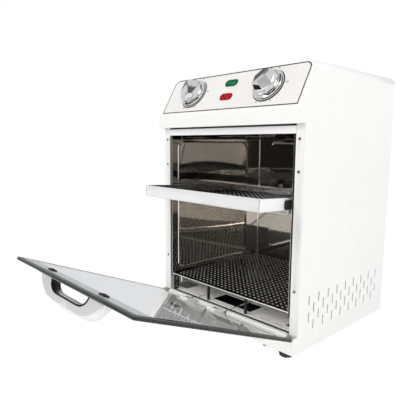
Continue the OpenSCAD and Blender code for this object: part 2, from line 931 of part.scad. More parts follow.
// Runs a loop's face along the door, centred on the handle's axis
module run_handle(d) {
  out = glass_in - glass_t - base_t;
  translate([0, out, glass_gap + glass_len - handle_in]) rotate([180, 0, 0]) {
    linear_extrude(d, center = true) children();
  }
}

module handle() {
  color([0.86, 0.86, 0.85]) placed() on_door() difference() {
    run_handle(handle_d) difference() {
      loop_face(handle_w, handle_h - base_t, handle_r);
      loop_face(window_w, window_h, window_r);
    }
    handle_places() cylinder(r = 2.5, h = 20);
  }
}

// Black lining of the finger gap
module handle_liner() {
  color(black) placed() on_door() run_handle(handle_d - 2) difference() {
    loop_face(window_w, window_h, window_r);
    loop_face(window_w - 2 * liner_t, window_h - liner_t, window_r - liner_t);
  }
}

// Screws through the glass into the handle, under black caps on the inner face
module handle_caps() {
  color(black) placed() on_door() handle_places() {
    translate([0, 0, -glass_in - 3]) capsule(16, 9, 3);
    translate([0, 0, -glass_in]) cylinder(r = 2.5, h = glass_t + base_t + 12);
  }
}

// Anchors on the deck that hold the far ends of the door springs
spring_x = [tube_left + 12.5, tube_right + 6.5];
anchor_y = 72;
anchor_r = 4;
anchor_z = deck_z + anchor_r;

module spring_anchors() {
  color(white) placed() for (x = spring_x) translate([x, anchor_y, anchor_z]) difference() {
    sphere(r = anchor_r);
    rod_y(-anchor_r - 1, 0, 1.2);
  }
}

// Door springs: thin wires with a close-wound stretch
module door_springs() {
  color(steel) placed() for (x = spring_x) translate([x, 0, anchor_z]) {
    rod_y(3, anchor_y - 0.5, 0.8);
    rod_y(anchor_y - 38, anchor_y - 16, 1.6);
  }
}

module tray() {
  t = tray_t;
  color(steel) placed() on_tray() difference() {
    block([-tray_w / 2, 0, 0], [tray_w / 2, tray_len, tray_h]);
    block([t - tray_w / 2, t, t], [tray_w / 2 - t, tray_len - t, tray_h + 1]);
  }
}

// Black slide pads on the tray's two sides
module tray_pads() {
  pad = (chamber_w - tray_w) / 2 - 1;
  color(black) placed() on_tray() for (s = [-1, 1]) {
    x0 = min(s * tray_w / 2, s * (tray_w / 2 + pad));
    block([x0, 50, 2], [x0 + pad, 76, tray_h - 3]);
  }
}

// Rack in the tray: a rod frame with bars along the tray and cross bars under them
module tray_rack() {
  x1 = tray_w / 2 - tray_t - rack_frame_r - 2;
  y0 = tray_t + rack_frame_r + 2;
  y1 = tray_len - y0;
  z = tray_t + gap + rack_frame_r + 3;
  bars = floor((x1 - 2) / rack_pitch);
  color(steel) placed() on_tray() {
    for (s = [-1, 1]) translate([s * x1, 0, z]) rod_y(y0, y1, rack_frame_r);
    for (y = [y0, y1]) translate([0, y, z]) rod_x(-x1, x1, rack_frame_r);
    for (x = [-x1, x1]) for (y = [y0, y1]) {
      translate([x, y, z]) sphere(r = rack_frame_r);
      translate([x, y, tray_t + gap]) cylinder(r = rack_frame_r, h = z - tray_t - gap);
    }
    for (i = [-bars : bars]) translate([i * rack_pitch, 0, z]) rod_y(y0, y1, rack_r);
    for (y = [tray_len / 3, 2 * tray_len / 3]) translate([0, y, z - rack_r]) rod_x(-x1, x1, rack_r);
  }
}

outer_cover();
control_panel();
panel_fascia();
left_post();
right_post();
top_strip();
base_front();
base_deck();
bottom_plate();
back_cover();
lining_left();
lining_right();
lining_back();
lining_top();
perforated_floor();
floor_posts();
tray_runners();
heater();
heater_insulators();
fan_guard();
fan_housing();
fan_rotor();
cooling_fan();
motor();
thermostat_body();
thermostat_bulb();
thermostat_shaft();
thermostat_knob();
timer_body();
timer_shaft();
timer_knob();
shaft_nuts();
green_lens();
red_lens();
lamp_holders();
terminal_block();
cord_gland();
feet();
post_screws();
back_screws();
base_screws();
hinge_rod();
hinge_brackets();
hinge_tubes();
spring_anchors();
door_springs();
door_glass();
door_tube();
door_arms();
door_pads();
handle_base();
handle();
handle_liner();
handle_caps();
tray();
tray_pads();
tray_rack();
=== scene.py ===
import math

import bmesh
import bpy
from mathutils import Matrix, Vector
from mathutils.geometry import tessellate_polygon


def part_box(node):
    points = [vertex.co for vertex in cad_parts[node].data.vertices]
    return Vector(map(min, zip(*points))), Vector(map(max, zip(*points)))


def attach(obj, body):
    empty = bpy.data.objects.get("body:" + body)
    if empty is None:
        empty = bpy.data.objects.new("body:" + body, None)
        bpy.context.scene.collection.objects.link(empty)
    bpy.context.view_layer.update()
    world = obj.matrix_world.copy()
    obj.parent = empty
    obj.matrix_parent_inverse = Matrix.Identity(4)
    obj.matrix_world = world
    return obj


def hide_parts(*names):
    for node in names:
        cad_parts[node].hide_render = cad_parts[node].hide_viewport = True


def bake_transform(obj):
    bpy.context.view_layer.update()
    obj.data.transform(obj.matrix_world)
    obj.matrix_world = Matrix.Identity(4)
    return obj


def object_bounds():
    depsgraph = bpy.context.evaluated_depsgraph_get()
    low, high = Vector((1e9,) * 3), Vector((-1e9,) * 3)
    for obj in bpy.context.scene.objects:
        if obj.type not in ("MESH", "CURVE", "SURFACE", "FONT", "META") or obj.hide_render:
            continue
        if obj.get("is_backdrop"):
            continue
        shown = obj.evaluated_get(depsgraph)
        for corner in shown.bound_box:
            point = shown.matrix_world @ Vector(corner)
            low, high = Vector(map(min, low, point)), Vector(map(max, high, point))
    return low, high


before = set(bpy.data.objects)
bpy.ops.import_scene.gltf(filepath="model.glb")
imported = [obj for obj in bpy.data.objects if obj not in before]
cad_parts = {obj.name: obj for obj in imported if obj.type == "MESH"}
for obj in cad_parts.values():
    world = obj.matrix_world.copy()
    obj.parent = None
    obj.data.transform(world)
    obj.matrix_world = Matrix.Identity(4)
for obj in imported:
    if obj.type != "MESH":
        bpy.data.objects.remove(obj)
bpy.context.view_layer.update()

# ---- frames
# Lengths are in millimetres inside these local frames, and each matrix ends in metres.
moved = Matrix.Translation
PIVOT = (0, 9.2, 20)
FOOT_H = 12.0
rod_low, rod_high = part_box("hinge_rod")  # in metres: its middle ties this frame to the CAD
ORIGIN_Y = PIVOT[1] - 1000 * (rod_low[1] + rod_high[1]) / 2
OVEN = Matrix.Scale(0.001, 4) @ moved((0, -ORIGIN_Y, FOOT_H))


def rotation(degrees, axis):
    return Matrix.Rotation(math.radians(degrees), 4, axis)


def turned(origin, degrees):
    """A local frame at a place on the oven, turned about X."""
    return OVEN @ moved(origin) @ rotation(degrees, "X")


SLANT = turned((0, 0, 341), 60.4)
DOOR = turned(PIVOT, 67.7)
TRAY = turned((0, -49.5, 205), -2.8)
# For a flat plate that is drawn in (x, z) or in (y, z) instead of (x, y)
DRAWN_XZ = Matrix(((1, 0, 0, 0), (0, 0, 1, 0), (0, 1, 0, 0), (0, 0, 0, 1)))
DRAWN_YZ = Matrix(((0, 0, 1, 0), (1, 0, 0, 0), (0, 1, 0, 0), (0, 0, 0, 1)))

# ---- materials
MATS = {}
RAMP_LOW, RAMP_HIGH = 0.3, 0.7  # where the noise turns from the darker to the lighter tone
LIGHTER = 0.3  # how far the lighter tone rises, as a share of the darker's fall
FINE = 6  # how much finer the roughness varies than the colour


def add(tree, kind, **values):
    """A node with its settings and inputs, by name."""
    n = tree.nodes.new(kind)
    for key, value in values.items():
        if hasattr(n, key):
            setattr(n, key, value)
        else:
            n.inputs[key.replace("_", " ")].default_value = value
    return n


def mat(name, color, rough, metal=0.0, tone=0.05, tone_scale=40, stretch=(1, 1, 1), rough_var=0.1,
        bump=0.0, bump_scale=900, bump_detail=2.0, coat=(0.0, 0.03), **sockets):
    """A procedural finish: colour, roughness and relief all vary with noise over the surface."""
    m = bpy.data.materials.new(name)
    m.use_nodes = True
    tree = m.node_tree
    link = tree.links.new
    shader = tree.nodes["Principled BSDF"]
    coord = add(tree, "ShaderNodeTexCoord")
    mapping = add(tree, "ShaderNodeMapping", Scale=stretch)
    link(coord.outputs["Object"], mapping.inputs["Vector"])

    def noise(scale, detail):
        n = add(tree, "ShaderNodeTexNoise", Scale=scale, Detail=detail)
        link(mapping.outputs["Vector"], n.inputs["Vector"])
        return n.outputs["Fac"]

    ramp = add(tree, "ShaderNodeValToRGB")
    dark, light = ramp.color_ramp.elements
    dark.position, light.position = RAMP_LOW, RAMP_HIGH
    dark.color = (*[c * (1 - tone) for c in color], 1)
    light.color = (*[min(1, c * (1 + tone * LIGHTER)) for c in color], 1)
    link(noise(tone_scale, 4), ramp.inputs["Fac"])
    link(ramp.outputs["Color"], shader.inputs["Base Color"])
    spread = add(tree, "ShaderNodeMapRange", To_Min=max(0.0, rough * (1 - rough_var)),
                 To_Max=min(1.0, rough * (1 + rough_var)))
    link(noise(tone_scale * FINE, 3), spread.inputs["Value"])
    link(spread.outputs["Result"], shader.inputs["Roughness"])
    if bump:
        relief = add(tree, "ShaderNodeBump", Strength=1.0, Distance=bump)
        link(noise(bump_scale, bump_detail), relief.inputs["Height"])
        link(relief.outputs["Normal"], shader.inputs["Normal"])
    sockets.update(Metallic=metal, Coat_Weight=coat[0], Coat_Roughness=coat[1])
    for key, value in sockets.items():
        shader.inputs[key.replace("_", " ")].default_value = value
    MATS[name] = m


# cabinet and control panel
mat("cabinet_paint", (0.90, 0.885, 0.85), 0.34, tone=0.018, bump=0.00001, bump_scale=1400,
    coat=(0.1, 0.25))
# a paler copy of the cabinet paint, to lift the deck out of its shade: painted light
mat("deck_lightened_paint", (0.97, 0.95, 0.91), 0.5, tone=0.015)
mat("fascia_paint", (0.82, 0.79, 0.745), 0.45, tone=0.02, bump=0.000006, bump_scale=1800,
    coat=(0.03, 0.3), Specular_IOR_Level=0.35)
mat("bright_strip", (0.97, 0.945, 0.93), 0.5, tone=0.05, stretch=(1, 30, 30), tone_scale=30,
    bump=0.000004, bump_scale=60)
mat("knob_chrome", (0.72, 0.72, 0.72), 0.06, 1.0, tone=0.05, rough_var=0.4)
for colour, tint in (("green", (0.0, 0.185, 0.07)), ("red", (0.46, 0.004, 0.012))):
    mat(colour + "_lens", tint, 0.25, tone=0.75, tone_scale=200, bump=0.0002, bump_scale=420,
        coat=(0.05, 0.05), Specular_IOR_Level=0.08)
# black for print, and for painted shade in the screws' recesses and round the knobs
mat("ink", (0.02, 0.02, 0.02), 0.5, tone=0.2, tone_scale=300)
# grey for the printed numbers, and for painted shade at the tray's corners
mat("ink_soft", (0.13, 0.125, 0.12), 0.55, tone=0.15, tone_scale=300)

# chamber
mat("polished_lining", (0.70, 0.66, 0.615), 0.035, 1.0, tone=0.12, tone_scale=9, rough_var=0.5,
    bump=0.00022, bump_scale=5, bump_detail=0.5)
# a paler copy of the lining steel for the beads and corner seams: painted highlight
mat("bead_bright", (0.95, 0.94, 0.92), 0.1, 1.0, tone=0.04, tone_scale=80)
mat("lining_rim", (0.90, 0.885, 0.86), 0.36, 0.8, tone=0.12, tone_scale=60)
mat("dark_floor", (0.06, 0.06, 0.057), 0.16, 1.0, tone=0.35, tone_scale=30, rough_var=0.4,
    bump=0.00002, bump_scale=60)
# pale rim on the side of each floor hole that faces the opening: painted highlight
mat("hole_lit_rim", (0.92, 0.91, 0.88), 0.3, 0.4, tone=0.3, tone_scale=90)
mat("heater_sheath", (0.16, 0.13, 0.115), 0.42, 1.0, tone=0.4, tone_scale=120, bump=0.00003)
mat("ceramic", (0.78, 0.74, 0.66), 0.55, tone=0.1, tone_scale=90, bump=0.00006, bump_scale=700)

# bare metal, rubber, plastic and felt
mat("black_steel", (0.018, 0.018, 0.018), 0.38, 0.3, tone=0.2, bump=0.00001)
mat("steel_wire", (0.78, 0.77, 0.76), 0.24, 1.0, tone=0.1, tone_scale=90)
mat("zinc_sheet", (0.52, 0.53, 0.54), 0.38, 1.0, tone=0.35, tone_scale=55, rough_var=0.3)
mat("fan_alloy", (0.66, 0.66, 0.66), 0.3, 1.0, tone=0.15, tone_scale=70)
mat("motor_steel", (0.3, 0.3, 0.31), 0.42, 1.0, tone=0.2, tone_scale=50)
mat("shaft_steel", (0.62, 0.61, 0.6), 0.25, 1.0, tone=0.1)
mat("screw_zinc", (0.5, 0.5, 0.5), 0.33, 1.0, tone=0.2, tone_scale=200)
mat("foot_rubber", (0.03, 0.03, 0.027), 0.6, tone=0.3, tone_scale=90, bump=0.00006)
# black plastic, also used for painted shade in the opening's side gaps and on the tray's sides
mat("black_plastic", (0.014, 0.014, 0.015), 0.42, tone=0.25, bump=0.00002, bump_scale=1500,
    Specular_IOR_Level=0.25)
mat("white_plastic", (0.90, 0.88, 0.845), 0.32, tone=0.03, bump=0.00001, coat=(0.1, 0.2))
# flat black for the crumb space's floor and the gap behind the hinge: painted shade
mat("felt", (0.024, 0.027, 0.026), 0.9, tone=0.35, tone_scale=220, bump=0.0001, bump_scale=1600)

# door and handle
mat("door_glass", (0.765, 0.775, 0.77), 0.012, tone=0.015, tone_scale=12, rough_var=0.5,
    Transmission_Weight=1.0, IOR=1.42)
mat("glass_edge", (0.045, 0.052, 0.048), 0.3, tone=0.45, tone_scale=70, stretch=(0.3, 6, 6),
    Specular_IOR_Level=0.15)
mat("glass_arris", (0.10, 0.11, 0.10), 0.3, tone=0.2, tone_scale=90)
mat("glass_border", (0.035, 0.04, 0.037), 0.3, tone=0.2, tone_scale=90,
    Specular_IOR_Level=0.2)
mat("edge_band", (0.55, 0.55, 0.555), 0.3, tone=0.05, tone_scale=60)
# one silver finish in two copies, a greyer one for the flat faces and a whiter one for the rim:
# painted shade and painted highlight
mat("handle_silver", (0.66, 0.655, 0.635), 0.3, 0.15, tone=0.03, bump=0.000006, bump_scale=1500,
    coat=(0.4, 0.12))
mat("handle_lit_rim", (0.90, 0.90, 0.88), 0.22, tone=0.02, bump=0.000004, bump_scale=1500,
    coat=(0.4, 0.08))
mat("handle_shadow", (0.30, 0.30, 0.295), 0.4, 0.2, tone=0.08, bump=0.000006, bump_scale=1500)
mat("black_gloss", (0.012, 0.012, 0.012), 0.16, tone=0.25, coat=(0.6, 0.05))

# tray and rack
mat("tray_steel", (0.96, 0.95, 0.93), 0.36, 0.5, tone=0.05, tone_scale=14, stretch=(1, 8, 8),
    rough_var=0.3, bump=0.000003, bump_scale=90)
mat("tray_inside", (0.46, 0.45, 0.44), 0.2, 0.95, tone=0.65, tone_scale=170, bump=0.0022,
    bump_scale=200)
mat("rack_wire", (0.17, 0.17, 0.17), 0.42, 0.9, tone=0.5, tone_scale=260, bump=0.0002,
    bump_scale=500)

# ---- mesh helpers
AXIS_R = 0.001  # least radius of a turned shape on its axis
BEVEL_STEPS = 2
PIECE_ANGLE, SHEET_ANGLE = 35, 40  # edges sharper than this get their bevel
CAPSULE_STEPS = 14
scene = bpy.context.scene
DRESSED = bpy.data.collections.new("dressed")
scene.collection.children.link(DRESSED)


def at_z(outline, z):
    """An outline of (x, y) points, laid at one height."""
    return [Vector((x, y, z)) for x, y in outline]


def at_y(outline, y):
    """An outline of (x, z) points, stood at one depth."""
    return [Vector((x, y, z)) for x, z in outline]


def at_x(outline, x):
    """An outline of (y, z) points, stood at one place across the width."""
    return [Vector((x, y, z)) for y, z in outline]


def polar(r, degrees, cx=0, cy=0):
    """A point at a distance and an angle from a centre."""
    a = math.radians(degrees)
    return cx + r * math.cos(a), cy + r * math.sin(a)


def circle_about(centre, u, v, r, segs):
    """Points round a centre, in the plane of two unit vectors."""
    angles = [2 * math.pi * k / segs for k in range(segs)]
    return [centre + (u * math.cos(a) + v * math.sin(a)) * r for a in angles]


def block(bm, lo, hi):
    v = [bm.verts.new((x, y, z)) for x in (lo[0], hi[0]) for y in (lo[1], hi[1])
         for z in (lo[2], hi[2])]
    for f in ((0, 1, 3, 2), (4, 6, 7, 5), (0, 4, 5, 1), (2, 3, 7, 6), (0, 2, 6, 4), (1, 5, 7, 3)):
        bm.faces.new([v[i] for i in f])


def marked_block(bm, lo, hi, m):
    """A block moved by m, in the piece's second material."""
    before = set(bm.verts)
    block(bm, lo, hi)
    fresh = [v for v in bm.verts if v not in before]
    bmesh.ops.transform(bm, matrix=m, verts=fresh)
    for f in {f for v in fresh for f in v.link_faces}:
        f.material_index = 1


def loft(bm, rings, closed=False):
    """Skins between rings that all have the same number of points."""
    made = [[bm.verts.new(p) for p in ring] for ring in rings]
    n = len(made[0])
    pairs = list(zip(made, made[1:])) + ([(made[-1], made[0])] if closed else [])
    for a, b in pairs:
        for i in range(n):
            j = (i + 1) % n
            bm.faces.new((a[i], a[j], b[j], b[i]))
    if not closed:
        bm.faces.new(made[0][::-1])
        bm.faces.new(made[-1])


def pull(bm, at, outline, levels):
    """One outline, repeated at each level."""
    loft(bm, [at(outline, level) for level in levels])


def lathe(bm, profile, segs, m):
    """Turns (radius, height) points about local Z."""
    angles = [2 * math.pi * i / segs for i in range(segs)]
    spokes = [(math.cos(a), math.sin(a)) for a in angles]
    loft(bm, [[m @ Vector((max(r, AXIS_R) * c, max(r, AXIS_R) * s, z)) for c, s in spokes]
              for r, z in profile])


def sweep(bm, path, r, segs, closed=False):
    """A round wire along a path, with frames that do not twist."""
    path = [Vector(p) for p in path]
    n = len(path)
    rings = []
    normal = None
    for i, p in enumerate(path):
        before = path[(i - 1) % n] if (closed or i > 0) else p
        after = path[(i + 1) % n] if (closed or i < n - 1) else p
        along = (after - before).normalized()
        if normal is None:
            normal = along.orthogonal().normalized()
        normal = (normal - along * normal.dot(along)).normalized()
        rings.append(circle_about(p, normal, along.cross(normal), r, segs))
    loft(bm, rings, closed=closed)


def rod(bm, a, b, r, segs, chamfer):
    """A straight bar with broken edges at its ends."""
    a, b = Vector(a), Vector(b)
    along = (b - a).normalized()
    u = along.orthogonal().normalized()
    v = along.cross(u)
    ends = ((a, r - chamfer), (a + along * chamfer, r), (b - along * chamfer, r), (b, r - chamfer))
    loft(bm, [circle_about(p, u, v, radius, segs) for p, radius in ends])


def plate(bm, loops, z0, z1):
    """A flat sheet with holes: the first loop is the outline, the others are openings."""
    flat = [at_z(loop, 0) for loop in loops]
    points = [p for loop in flat for p in loop]
    top = [bm.verts.new((p.x, p.y, z1)) for p in points]
    bottom = [bm.verts.new((p.x, p.y, z0)) for p in points]
    for t in tessellate_polygon(flat):
        bm.faces.new([top[i] for i in t])
        bm.faces.new([bottom[i] for i in reversed(t)])
    start = 0
    for loop in flat:
        n = len(loop)
        for i in range(n):
            a, b = start + i, start + (i + 1) % n
            bm.faces.new((bottom[a], bottom[b], top[b], top[a]))
        start += n


def arc(cx, cy, r, a0, a1, n):
    return [polar(r, a0 + (a1 - a0) * i / n, cx, cy) for i in range(n + 1)]


def capsule(cx, cy, length, width):
    """A slot's outline: straight sides and half-round ends."""
    h = (length - width) / 2
    return (arc(cx + h, cy, width / 2, -90, 90, CAPSULE_STEPS)
            + arc(cx - h, cy, width / 2, 90, 270, CAPSULE_STEPS))


def rounded(x0, y0, x1, y1, radii, n):
    """A rectangle with its own radius at each corner: right low, right top, left top, left low."""
    out = []
    corners = ((x1, y0, -90), (x1, y1, 0), (x0, y1, 90), (x0, y0, 180))
    for (x, y, start), r in zip(corners, radii):
        if r <= 0:
            out.append((x, y))
            continue
        cx = x - r if x == x1 else x + r
        cy = y + r if y == y0 else y - r
        out += arc(cx, cy, r, start, start + 90, n)
    return out


def finish_mesh(bm, name, m, materials, smooth, pick):
    """Closes, turns outward, places and shades a mesh. pick gives a face its material's index."""
    bmesh.ops.remove_doubles(bm, verts=bm.verts, dist=1e-5)
    bmesh.ops.recalc_face_normals(bm, faces=bm.faces)
    if pick:
        bm.normal_update()
        for f in bm.faces:
            f.material_index = pick(f)
    bmesh.ops.transform(bm, matrix=m, verts=bm.verts)
    if m.determinant() < 0:
        bmesh.ops.reverse_faces(bm, faces=bm.faces)
    mesh = bpy.data.meshes.new(name)
    bm.to_mesh(mesh)
    bm.free()
    for f in mesh.polygons:
        f.use_smooth = True
    mesh.set_sharp_from_angle(angle=math.radians(smooth))
    for one in materials:
        mesh.materials.append(MATS[one])
    return mesh


def soften(obj, width, degrees):
    """Rounds the edges that turn by more than an angle, by a width in millimetres."""
    b = obj.modifiers.new("edges", "BEVEL")
    b.width = width / 1000
    b.segments = BEVEL_STEPS
    b.limit_method = "ANGLE"
    b.angle_limit = math.radians(degrees)
    b.harden_normals = True
    b.use_clamp_overlap = True


def piece(name, bm, m, materials, body, replaces=(), bevel=0.0, smooth=32, pick=None):
    """A visible piece that rides on a body, and may stand in for CAD nodes."""
    materials = [materials] if isinstance(materials, str) else materials
    obj = bpy.data.objects.new(name, finish_mesh(bm, name, m, materials, smooth, pick))
    DRESSED.objects.link(obj)
    if bevel:
        soften(obj, bevel, PIECE_ANGLE)
    if body:
        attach(obj, body)
    if replaces:
        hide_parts(*replaces)
    return obj


def dress(names, material, bevel=0.0):
    """A CAD node that keeps its shape gets its finish here."""
    for name in names.split():
        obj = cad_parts[name]
        obj.data.materials.clear()
        obj.data.materials.append(MATS[material])
        if bevel:
            weld = obj.modifiers.new("weld", "WELD")
            weld.merge_threshold = 1e-6
            soften(obj, bevel, SHEET_ANGLE)


# ---- CAD nodes that keep their shape
dress("outer_cover control_panel base_front", "cabinet_paint", 0.35)
dress("back_cover bottom_plate", "cabinet_paint")
dress("left_post right_post hinge_brackets", "cabinet_paint", 0.25)
# the deck gets the paler paint so that it reads brighter in its shade: painted light
dress("base_deck", "deck_lightened_paint", 0.25)
dress("top_strip", "bright_strip", 0.25)
dress("lining_back lining_top", "polished_lining")
dress("floor_posts", "black_steel", 0.4)
dress("tray_runners", "steel_wire")
dress("heater", "heater_sheath")
dress("heater_insulators terminal_block", "ceramic", 0.4)
dress("fan_guard", "steel_wire", 0.3)
dress("fan_housing", "zinc_sheet", 0.3)
dress("fan_rotor", "fan_alloy", 0.15)
dress("cooling_fan thermostat_body timer_body lamp_holders", "black_plastic", 0.3)
dress("motor", "motor_steel", 0.5)
dress("thermostat_bulb thermostat_shaft timer_shaft shaft_nuts hinge_rod", "shaft_steel", 0.15)
dress("base_screws", "screw_zinc", 0.3)

# ---- control panel
KNOBS = {"thermostat": -79, "timer": 79}  # place across the panel
KNOB_TURNS = {"thermostat": 30, "timer": -45}
KNOB_U = 40.5  # height of the knobs on the slant
FASCIA_T = 0.6
SINK = 0.02  # trim is sunk this far, so that no gap shows
SHAFT_HOLE_R = 5.0
LAMPS = {"green": 52.6, "red": 27.6}  # height of the lamps on the slant
LAMP_X = 2.0
LAMP_HOLE = (26.6, 13.0)
fascia_edge = rounded(-143.2, 4.6, 143.2, 73.4, (0, 11, 11, 0), 12)
bm = bmesh.new()
holes = [arc(x, KNOB_U, SHAFT_HOLE_R, 0, 345, 23) for x in KNOBS.values()]
holes += [capsule(LAMP_X, u, *LAMP_HOLE) for u in LAMPS.values()]
plate(bm, [fascia_edge] + [h[::-1] for h in holes], 0, FASCIA_T)
piece("fascia_plate", bm, SLANT, "fascia_paint", "oven", ["panel_fascia"],
      bevel=0.15)

# printed line round the panel, and round each knob a thin printed line that swells towards its
# middle on the knob's right and lower side; the swelling is the knob's painted shadow
INK_LOW, INK_TOP = FASCIA_T - SINK, FASCIA_T + 0.07
FRAME_LINE = (rounded(-142.9, 4.9, 142.7, 72.6, (0, 10.7, 10.7, 0), 12),
              rounded(-141.2, 6.6, 140.9, 70.8, (0, 8.9, 8.9, 0), 12)[::-1])
DIAL_SHADOW_ARCS = {"thermostat": (62, -150), "timer": (66, -152)}  # from one angle to the other
DIAL_LINE_R, DIAL_LINE_THIN, DIAL_SHADOW_SWELL, DIAL_LINE_STEPS = 26.4, 0.2, 1.15, 60
bm = bmesh.new()
plate(bm, FRAME_LINE, INK_LOW, INK_TOP)
for name, (start, end) in DIAL_SHADOW_ARCS.items():
    outer, inner = [], []
    for i in range(DIAL_LINE_STEPS + 1):
        a = start + (end - start) * i / DIAL_LINE_STEPS
        half = DIAL_LINE_THIN + DIAL_SHADOW_SWELL * math.sin(math.pi * i / DIAL_LINE_STEPS) ** 0.7
        outer.append(polar(DIAL_LINE_R + half, a, KNOBS[name], KNOB_U))
        inner.append(polar(DIAL_LINE_R - half, a, KNOBS[name], KNOB_U))
    plate(bm, [outer + inner[::-1]], INK_LOW, INK_TOP)
piece("fascia_print_and_knob_shadows", bm, SLANT, "ink", "oven")

NUMBERS = {"thermostat": ("50", "100", "150", "200", "250"),
           "timer": ("60", "OFF", "15", "30", "45")}
NUMBER_ANGLES = (74, 4, -62, -112, 172)
NUMBER_SIZE = 3.3
NUMBER_R, NUMBER_R_WIDE = 29.6, 31.5  # the wider one for a number beside its knob


def label(text, x, u):
    """The mesh of a printed word, centred on its place on the slant."""
    curve = bpy.data.curves.new("label", "FONT")
    curve.body = text
    curve.size = NUMBER_SIZE
    curve.align_x = curve.align_y = "CENTER"
    curve.extrude = 0.04
    curve.offset = 0.06
    holder = bpy.data.objects.new("label", curve)
    scene.collection.objects.link(holder)
    bpy.context.view_layer.update()
    graph = bpy.context.evaluated_depsgraph_get()
    mesh = bpy.data.meshes.new_from_object(holder.evaluated_get(graph))
    mesh.transform(moved((x, u, FASCIA_T + 0.03)))
    bpy.data.objects.remove(holder)
    return mesh


bm = bmesh.new()
for name, x in KNOBS.items():
    for text, degrees in zip(NUMBERS[name], NUMBER_ANGLES):
        far = NUMBER_R_WIDE if abs(degrees) < 20 else NUMBER_R
        bm.from_mesh(label(text, *polar(far, degrees, x, KNOB_U)))
piece("fascia_numbers", bm, SLANT, "ink_soft", "oven")

KNOB_SKIRT = [(9, 1.7), (24.1, 1.7), (24.5, 2.1), (24.5, 4.0), (23.9, 4.9), (21.3, 5.4),
              (20.6, 5.1), (9, 5.1)]
KNOB_SIDES = ((20.3, 5.0), (20.1, 13.6), (18.8, 15.4))  # radius over the corners, height
KNOB_CRESTS = ((20.1, 3.0, 15.5), (20.5, 2.2, 14.8))  # height, half width, half length
KNOB_MARK = ((-1.1, 4.0, 20.4), (1.1, 13.6, 20.62))
CORNER_CUT = 0.12  # share of an octagon's side


def knob(name):
    """Chrome knob: stepped skirt, eight flat sides, sloping top facets and a raised grip bar."""
    spin = moved((KNOBS[name], KNOB_U, 0)) @ rotation(KNOB_TURNS[name], "Z")
    bm = bmesh.new()
    lathe(bm, KNOB_SKIRT, 96, spin)

    def octagon(r, z):
        return [spin @ Vector((*polar(r, 22.5 + 45 * i + s * CORNER_CUT * 22.5), z))
                for i in range(8) for s in (-1, 1)]

    def crest(z, half_w, half_l):
        """The octagon's points drawn in to the narrow flat along the top of the grip."""
        pts = []
        for p in octagon(1.0, 0.0):
            q = spin.inverted() @ p
            across, along = max(-1, min(1, q.x * 3)), max(-1, min(1, q.y * 1.3))
            pts.append(spin @ Vector((half_w * across, half_l * along, z)))
        return pts

    loft(bm, [octagon(r, z) for r, z in KNOB_SIDES] + [crest(*flat) for flat in KNOB_CRESTS])
    marked_block(bm, *KNOB_MARK, spin)
    piece(name + "_knob_chrome", bm, SLANT, ["knob_chrome", "ink"], name + "_dial",
          [name + "_knob"], bevel=0.25, smooth=25)


for name in KNOBS:
    knob(name)

BEZEL_OUTER, BEZEL_INNER, BEZEL_H = (27.6, 14.0), (26.1, 12.5), 0.5
LENS_SIZE = (26, 12.4)
LENS_LEVELS = ((-1.2, 0.0), (1.4, 0.0), (2.0, 0.35), (2.4, 1.1), (2.58, 2.4))  # height, inset
for name, u in LAMPS.items():
    bm = bmesh.new()
    plate(bm, [capsule(LAMP_X, u, *BEZEL_OUTER), capsule(LAMP_X, u, *BEZEL_INNER)[::-1]],
          FASCIA_T - SINK, FASCIA_T + BEZEL_H)
    piece(name + "_bezel", bm, SLANT, "fascia_paint", "oven", bevel=0.12)
    bm = bmesh.new()
    loft(bm, [at_z(capsule(LAMP_X, u, *[size - 2 * inset for size in LENS_SIZE]), z)
              for z, inset in LENS_LEVELS])
    lens = name + "_lens"
    piece(lens + "_dome", bm, SLANT, lens, "oven", [lens], smooth=50)

# ---- screws
SCREW_R = 2.6
CROSS_LONG, CROSS_SHORT = SCREW_R * 0.55, SCREW_R * 0.14
OUT_OF_FRONT, OUT_OF_BACK = rotation(90, "X"), rotation(-90, "X")
# place across, depth, heights on the oven, height of the head
POST_SCREWS = (141.4, 11.3, (89, 257, 301), 0.55)
BACK_SCREWS = (138.8, 270, (15, 203, 388), 1.2)


def screws(name, place, outward, replaced):
    """Pan heads with a cross recess, in a row of heights on both sides. The recess is a black
    block on the head: painted shade.
    """
    across, depth, heights, h = place
    head = [(0.3, -0.6), (SCREW_R, -0.6), (SCREW_R, h * 0.35), (SCREW_R * 0.86, h * 0.8),
            (SCREW_R * 0.5, h), (0.3, h)]
    bm = bmesh.new()
    for side in (-1, 1):
        for z in heights:
            m = moved((side * across, depth, z)) @ outward
            lathe(bm, head, 28, m)
            # the cross recess, as a black block standing on the head: painted shade
            for a, b in ((CROSS_LONG, CROSS_SHORT), (CROSS_SHORT, CROSS_LONG)):
                marked_block(bm, (-a, -b, h - 0.3), (a, b, h + 0.03), m)
    piece(name, bm, OVEN, ["screw_zinc", "ink"], "oven", [replaced])


screws("post_screw_heads", POST_SCREWS, OUT_OF_FRONT, "post_screws")
screws("back_screw_heads", BACK_SCREWS, OUT_OF_BACK, "back_screws")

# ---- feet and studs
FOOT_X, FOOT_YS = 127, (18, 223)
FOOT_PROFILE = [(4, -6), (4, -11.4), (4.6, -12), (9.2, -12), (10.1, -11.2), (10.5, -8),
                (10.9, -7.6), (11.1, -5), (11.5, -4.6), (11.7, -1.4), (12, -1), (12, 0), (1, 0),
                (1, -6)]
bm = bmesh.new()
for x in (-FOOT_X, FOOT_X):
    for y in FOOT_YS:
        lathe(bm, FOOT_PROFILE, 40, moved((x, y, 0)))
piece("rubber_feet", bm, OVEN, "foot_rubber", "oven", ["feet"])

STUD_X, STUD_Y = 94, 10
STUD_PROFILE = [(0.4, 0.2), (3.6, 0.2), (3.6, -5.2), (3.0, -6.2), (1.6, -6.6), (0.4, -6.6)]
bm = bmesh.new()
for x in (-STUD_X, STUD_X):
    lathe(bm, STUD_PROFILE, 24, moved((x, STUD_Y, 0)))
piece("front_bottom_studs", bm, OVEN, "screw_zinc", "oven", smooth=50)

